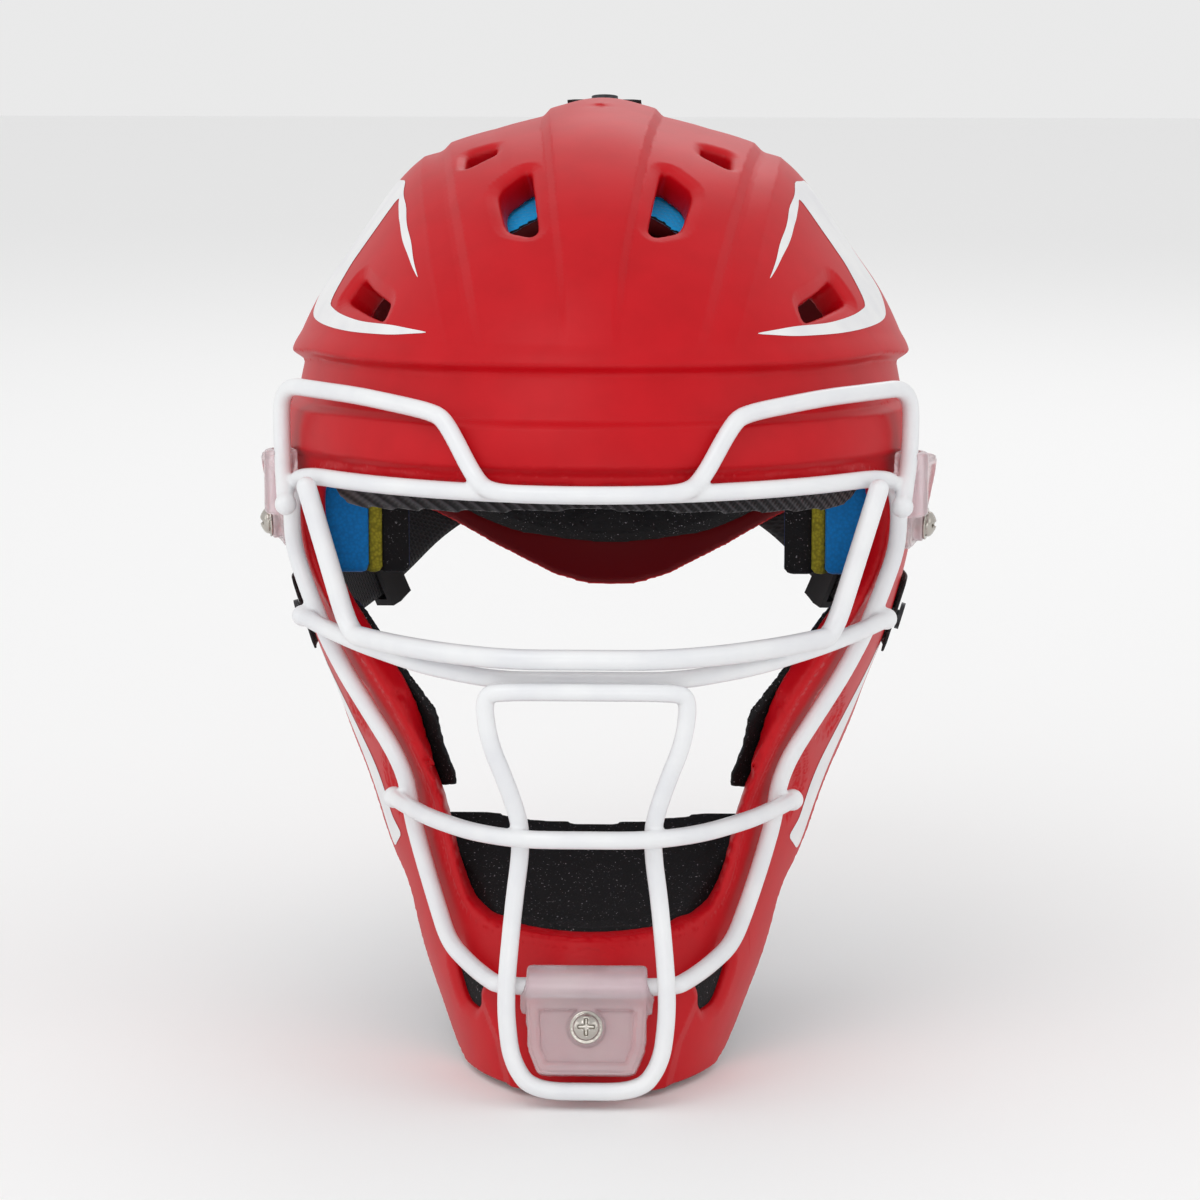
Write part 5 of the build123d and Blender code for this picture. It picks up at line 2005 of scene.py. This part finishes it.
# Hardware and studio
@dataclass(frozen=True)
class Hardware:
    """Metal and plastic parts kept as the CAD has them."""

    finishes: tuple[tuple[str, Finish], ...] = (
        ("side_clip_nuts", NICKEL), ("chin_clip_nut", NICKEL),
        ("shell_rivets", DARK_METAL), ("plate_rivets", DARK_METAL),
        ("lower_keeper_right", TRIM), ("lower_keeper_left", TRIM),
    )

    def finish(self) -> None:
        """Gives each of them its material."""
        for name, finish in self.finishes:
            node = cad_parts[name]
            node.data.materials.clear()
            node.data.materials.append(finish.material())


@dataclass(frozen=True)
class Studio:
    """Floor, lights and camera."""

    floor_height: float = -161.6
    floor_half: float = 4000.0
    floor_colour: Spot = (0.97, 0.97, 0.97)
    target: Spot = (0.0, -10.0, -26.5)
    azimuth: float = 1.7
    elevation: float = 10.0
    camera_distance: float = 1600.0
    frame_width: float = 402.0
    lamps: tuple[tuple[Spot, float, float], ...] = (
        ((-0.6, -1.3, 1.5), 1.1, 6.0), ((1.6, -0.8, 0.7), 0.9, 1.6), ((-1.7, -0.5, 0.6), 0.9, 1.6),
        ((0.2, 1.6, 1.2), 1.0, 4.0), ((0.0, -1.7, 0.1), 0.7, 1.8),
    )
    sky: float = 0.82

    def build(self) -> None:
        """Makes the floor, the lights, the sky and the camera."""
        scene = bpy.context.scene
        half = self.floor_half
        square = ((-half, -half), (half, -half), (half, half), (-half, half))
        corners = np.array([(*corner, self.floor_height) for corner in square])
        floor = mesh_object("studio_floor", corners, np.array([[0, 1, 2, 3]]))
        pale = Finish("studio_pale", self.floor_colour, Texture.PAINT, self.floor_colour, 0.8, 6.0, 0.0)
        floor.data.materials.append(pale.material())
        for number, (at, size, power) in enumerate(self.lamps):
            lamp = bpy.data.lights.new(f"lamp_{number}", "AREA")
            lamp.size, lamp.energy = size, power
            self._aim(bpy.data.objects.new(lamp.name, lamp), at, (0, 0, 0))
        world = bpy.data.worlds.new("sky")
        world.use_nodes = True
        world.node_tree.nodes["Background"].inputs["Color"].default_value = (1, 1, 1, 1)
        world.node_tree.nodes["Background"].inputs["Strength"].default_value = self.sky
        scene.world = world
        scene.view_settings.view_transform = "Standard"
        turn, rise = math.radians(self.azimuth), math.radians(self.elevation)
        back = (math.sin(turn) * math.cos(rise), -math.cos(turn) * math.cos(rise), math.sin(rise))
        target = [v * METRE for v in self.target]
        camera = bpy.data.cameras.new("photo_view")
        camera.angle = 2 * math.atan(self.frame_width / 2 / self.camera_distance)
        holder = bpy.data.objects.new(camera.name, camera)
        self._aim(holder, [t + b * self.camera_distance * METRE for t, b in zip(target, back)], target)
        scene.camera = holder

    @staticmethod
    def _aim(thing: Piece, at: Sequence[float], target: Sequence[float]) -> None:
        """Links a lamp or camera and turns it to a point."""
        bpy.context.scene.collection.objects.link(thing)
        thing.location = at
        thing.rotation_euler = (Vector(target) - Vector(at)).to_track_quat("-Z", "Y").to_euler()


# Helmet
@dataclass
class Helmet:
    """The whole helmet, in the order that it is put together."""

    skin: Skin = field(default_factory=Skin)
    screw_lift: float = 0.9
    jaw_gap: float = 4.2

    CROWN_STRIPE = (
        (50.1, -97.5, 73.4), (63.2, -86.5, 71.4), (77.7, -68, 70.4), (94.3, -21.5, 70.4), (92, 0, 78),
        (80, 10, 95), (66, 12, 110), (63.4, -10.5, 113.4), (61.4, -36, 107.2), (58.5, -59, 98.1),
        (54.7, -79, 87.4), (59.5, -63.5, 94.4), (63.1, -44.5, 101.5), (64.4, -33.5, 105.3),
        (65, -22, 109.2), (72.7, -24.5, 98.9), (80.8, -27, 87.9), (87.3, -37.5, 75.9),
        (83.2, -51.5, 74.6), (74.3, -69.5, 73.8), (63.3, -84, 74.3),
    )
    JAW_STRIPE = (
        (93.5, -31, -35.1), (84.9, -41, -51.3), (73.6, -53, -70.4), (66.8, -59.5, -89.1),
        (62.9, -66.5, -94.2), (66.4, -55.5, -102), (74.9, -43.5, -79.8), (87, -29, -56),
    )
    FOREHEAD = ((0.0, 20.6), (52.5, 16.8), (84.0, 12.7), (90.3, 34.4), (52.5, 57.8), (0.0, 60.5))
    CROWN = (
        (5.2, -56.8), (28.4, -68.6), (49.3, -50.0), (76.0, -30.0), (82.0, 0.0), (78.0, 30.0), (42.0, 53.8),
        (5.2, 38.4),
    )
    CROWN_REAR = ((0.0, 44.8), (42.0, 58.9), (34.6, 74.2), (0.0, 81.9))
    JAW = (
        (-66.0, -16.2), (-31.7, -16.2), (-7.9, -38.1), (-31.7, -69.7), (-43.6, -77.0), (-84.5, -77.0),
        (-92.4, -56.7), (-80.5, -32.4),
    )
    REAR_UPPER = ((108.8, 96.2), (83.2, 45.4), (179.2, 45.4), (179.2, 123.8))
    REAR_LOWER = ((76.8, 39.9), (83.2, 2.8), (125.4, -36.0), (179.2, -46.5), (179.2, 39.9))

    def shell(self) -> None:
        """Shell, stripes and rear plate."""
        shell = FrontShell(self.skin)
        shell.build()
        for name, points in (("crown_stripe", self.CROWN_STRIPE), ("jaw_stripe", self.JAW_STRIPE)):
            Stripe(name, shell, points).build()
        RearPlate(self.skin).build()

    def cage(self) -> None:
        """Cage and its clips."""
        Cage().build()
        side, chin = SideClip(self.skin), ChinClip(self.skin)
        side.build()
        chin.build()
        Screws(
            "side_screws", "side_clip_screws", side.screw, side.thickness + self.screw_lift,
            (-114, -46, -6), (114, -26, 16),
        ).build()
        Screws(
            "chin_screw", "chin_clip_screw", chin.seat, chin.thickness + self.screw_lift,
            (-8, -160, -148), (8, -132, -124),
        ).build()

    def pads(self) -> None:
        """All foam."""
        skin, shell = self.skin, FrontShell(self.skin)
        room, behind = shell.inner_room, shell.behind

        def jaw_room(x: Array, y: Array, z: Array) -> Array:
            """What the jaw pads stay out of: the flange, and the opening itself."""
            return np.minimum(room(x, y, z), shell.opening_distance(x, y, z) + self.jaw_gap)

        def crown_room(x: Array, y: Array, z: Array) -> Array:
            """What the crown pads stay out of: the vents' walls and the shell's."""
            return np.minimum(shell.wells(x, y, z), behind(x, y, z))

        crown = (Drawn.TOP, 3.5, 14.0, KNIT_BLUE, Body.SHELL, "pad_blue")
        jaw = (Drawn.SIDE, 3.8, 9.4, SPECKLED, Body.SHELL, "foam_black")
        Lining(
            "forehead_pad", skin, self.FOREHEAD, Drawn.FRONT, 3.5, 15.0, RIB_BLACK, Body.SHELL, "knit_black",
            cut=room, voxel=1.1,
        ).build()
        for side, name in ((1, "right"), (-1, "left")):
            Lining(
                f"crown_pad_{name}", skin, self.CROWN, *crown, side, inner_limit=45.8, cut=crown_room,
            ).build()
            Lining(
                f"jaw_pad_{name}", skin, self.JAW, *jaw, side, crown=0.1, soft=1.4, cut=jaw_room, voxel=1.0,
            ).build()
        Lining("crown_pad_rear", skin, self.CROWN_REAR, *crown, inner_limit=45.8, cut=crown_room).build()
        EarPads(skin, behind).build()
        ChinPad(skin, room, shell.region).build()
        for name, outline in (("rear_pad_upper", self.REAR_UPPER), ("rear_pad_lower", self.REAR_LOWER)):
            Lining(
                name, skin, outline, Drawn.SIDE, 3.3, 16.0, BLACK_FOAM, Body.PLATE, "foam_black",
                half_width=63.0,
            ).build()

    def build(self) -> None:
        """Makes everything that shows."""
        for step in (
            self.shell, self.cage, self.pads, Straps(self.skin).build, Hardware().finish, Studio().build,
        ):
            step()
            LOG.info("%s done", getattr(step, "__qualname__", step))


def main() -> None:
    """Builds the helmet."""
    logging.basicConfig(level=logging.INFO, format="%(asctime)s %(message)s")
    Helmet().build()


if __name__ == "__main__":
    main()
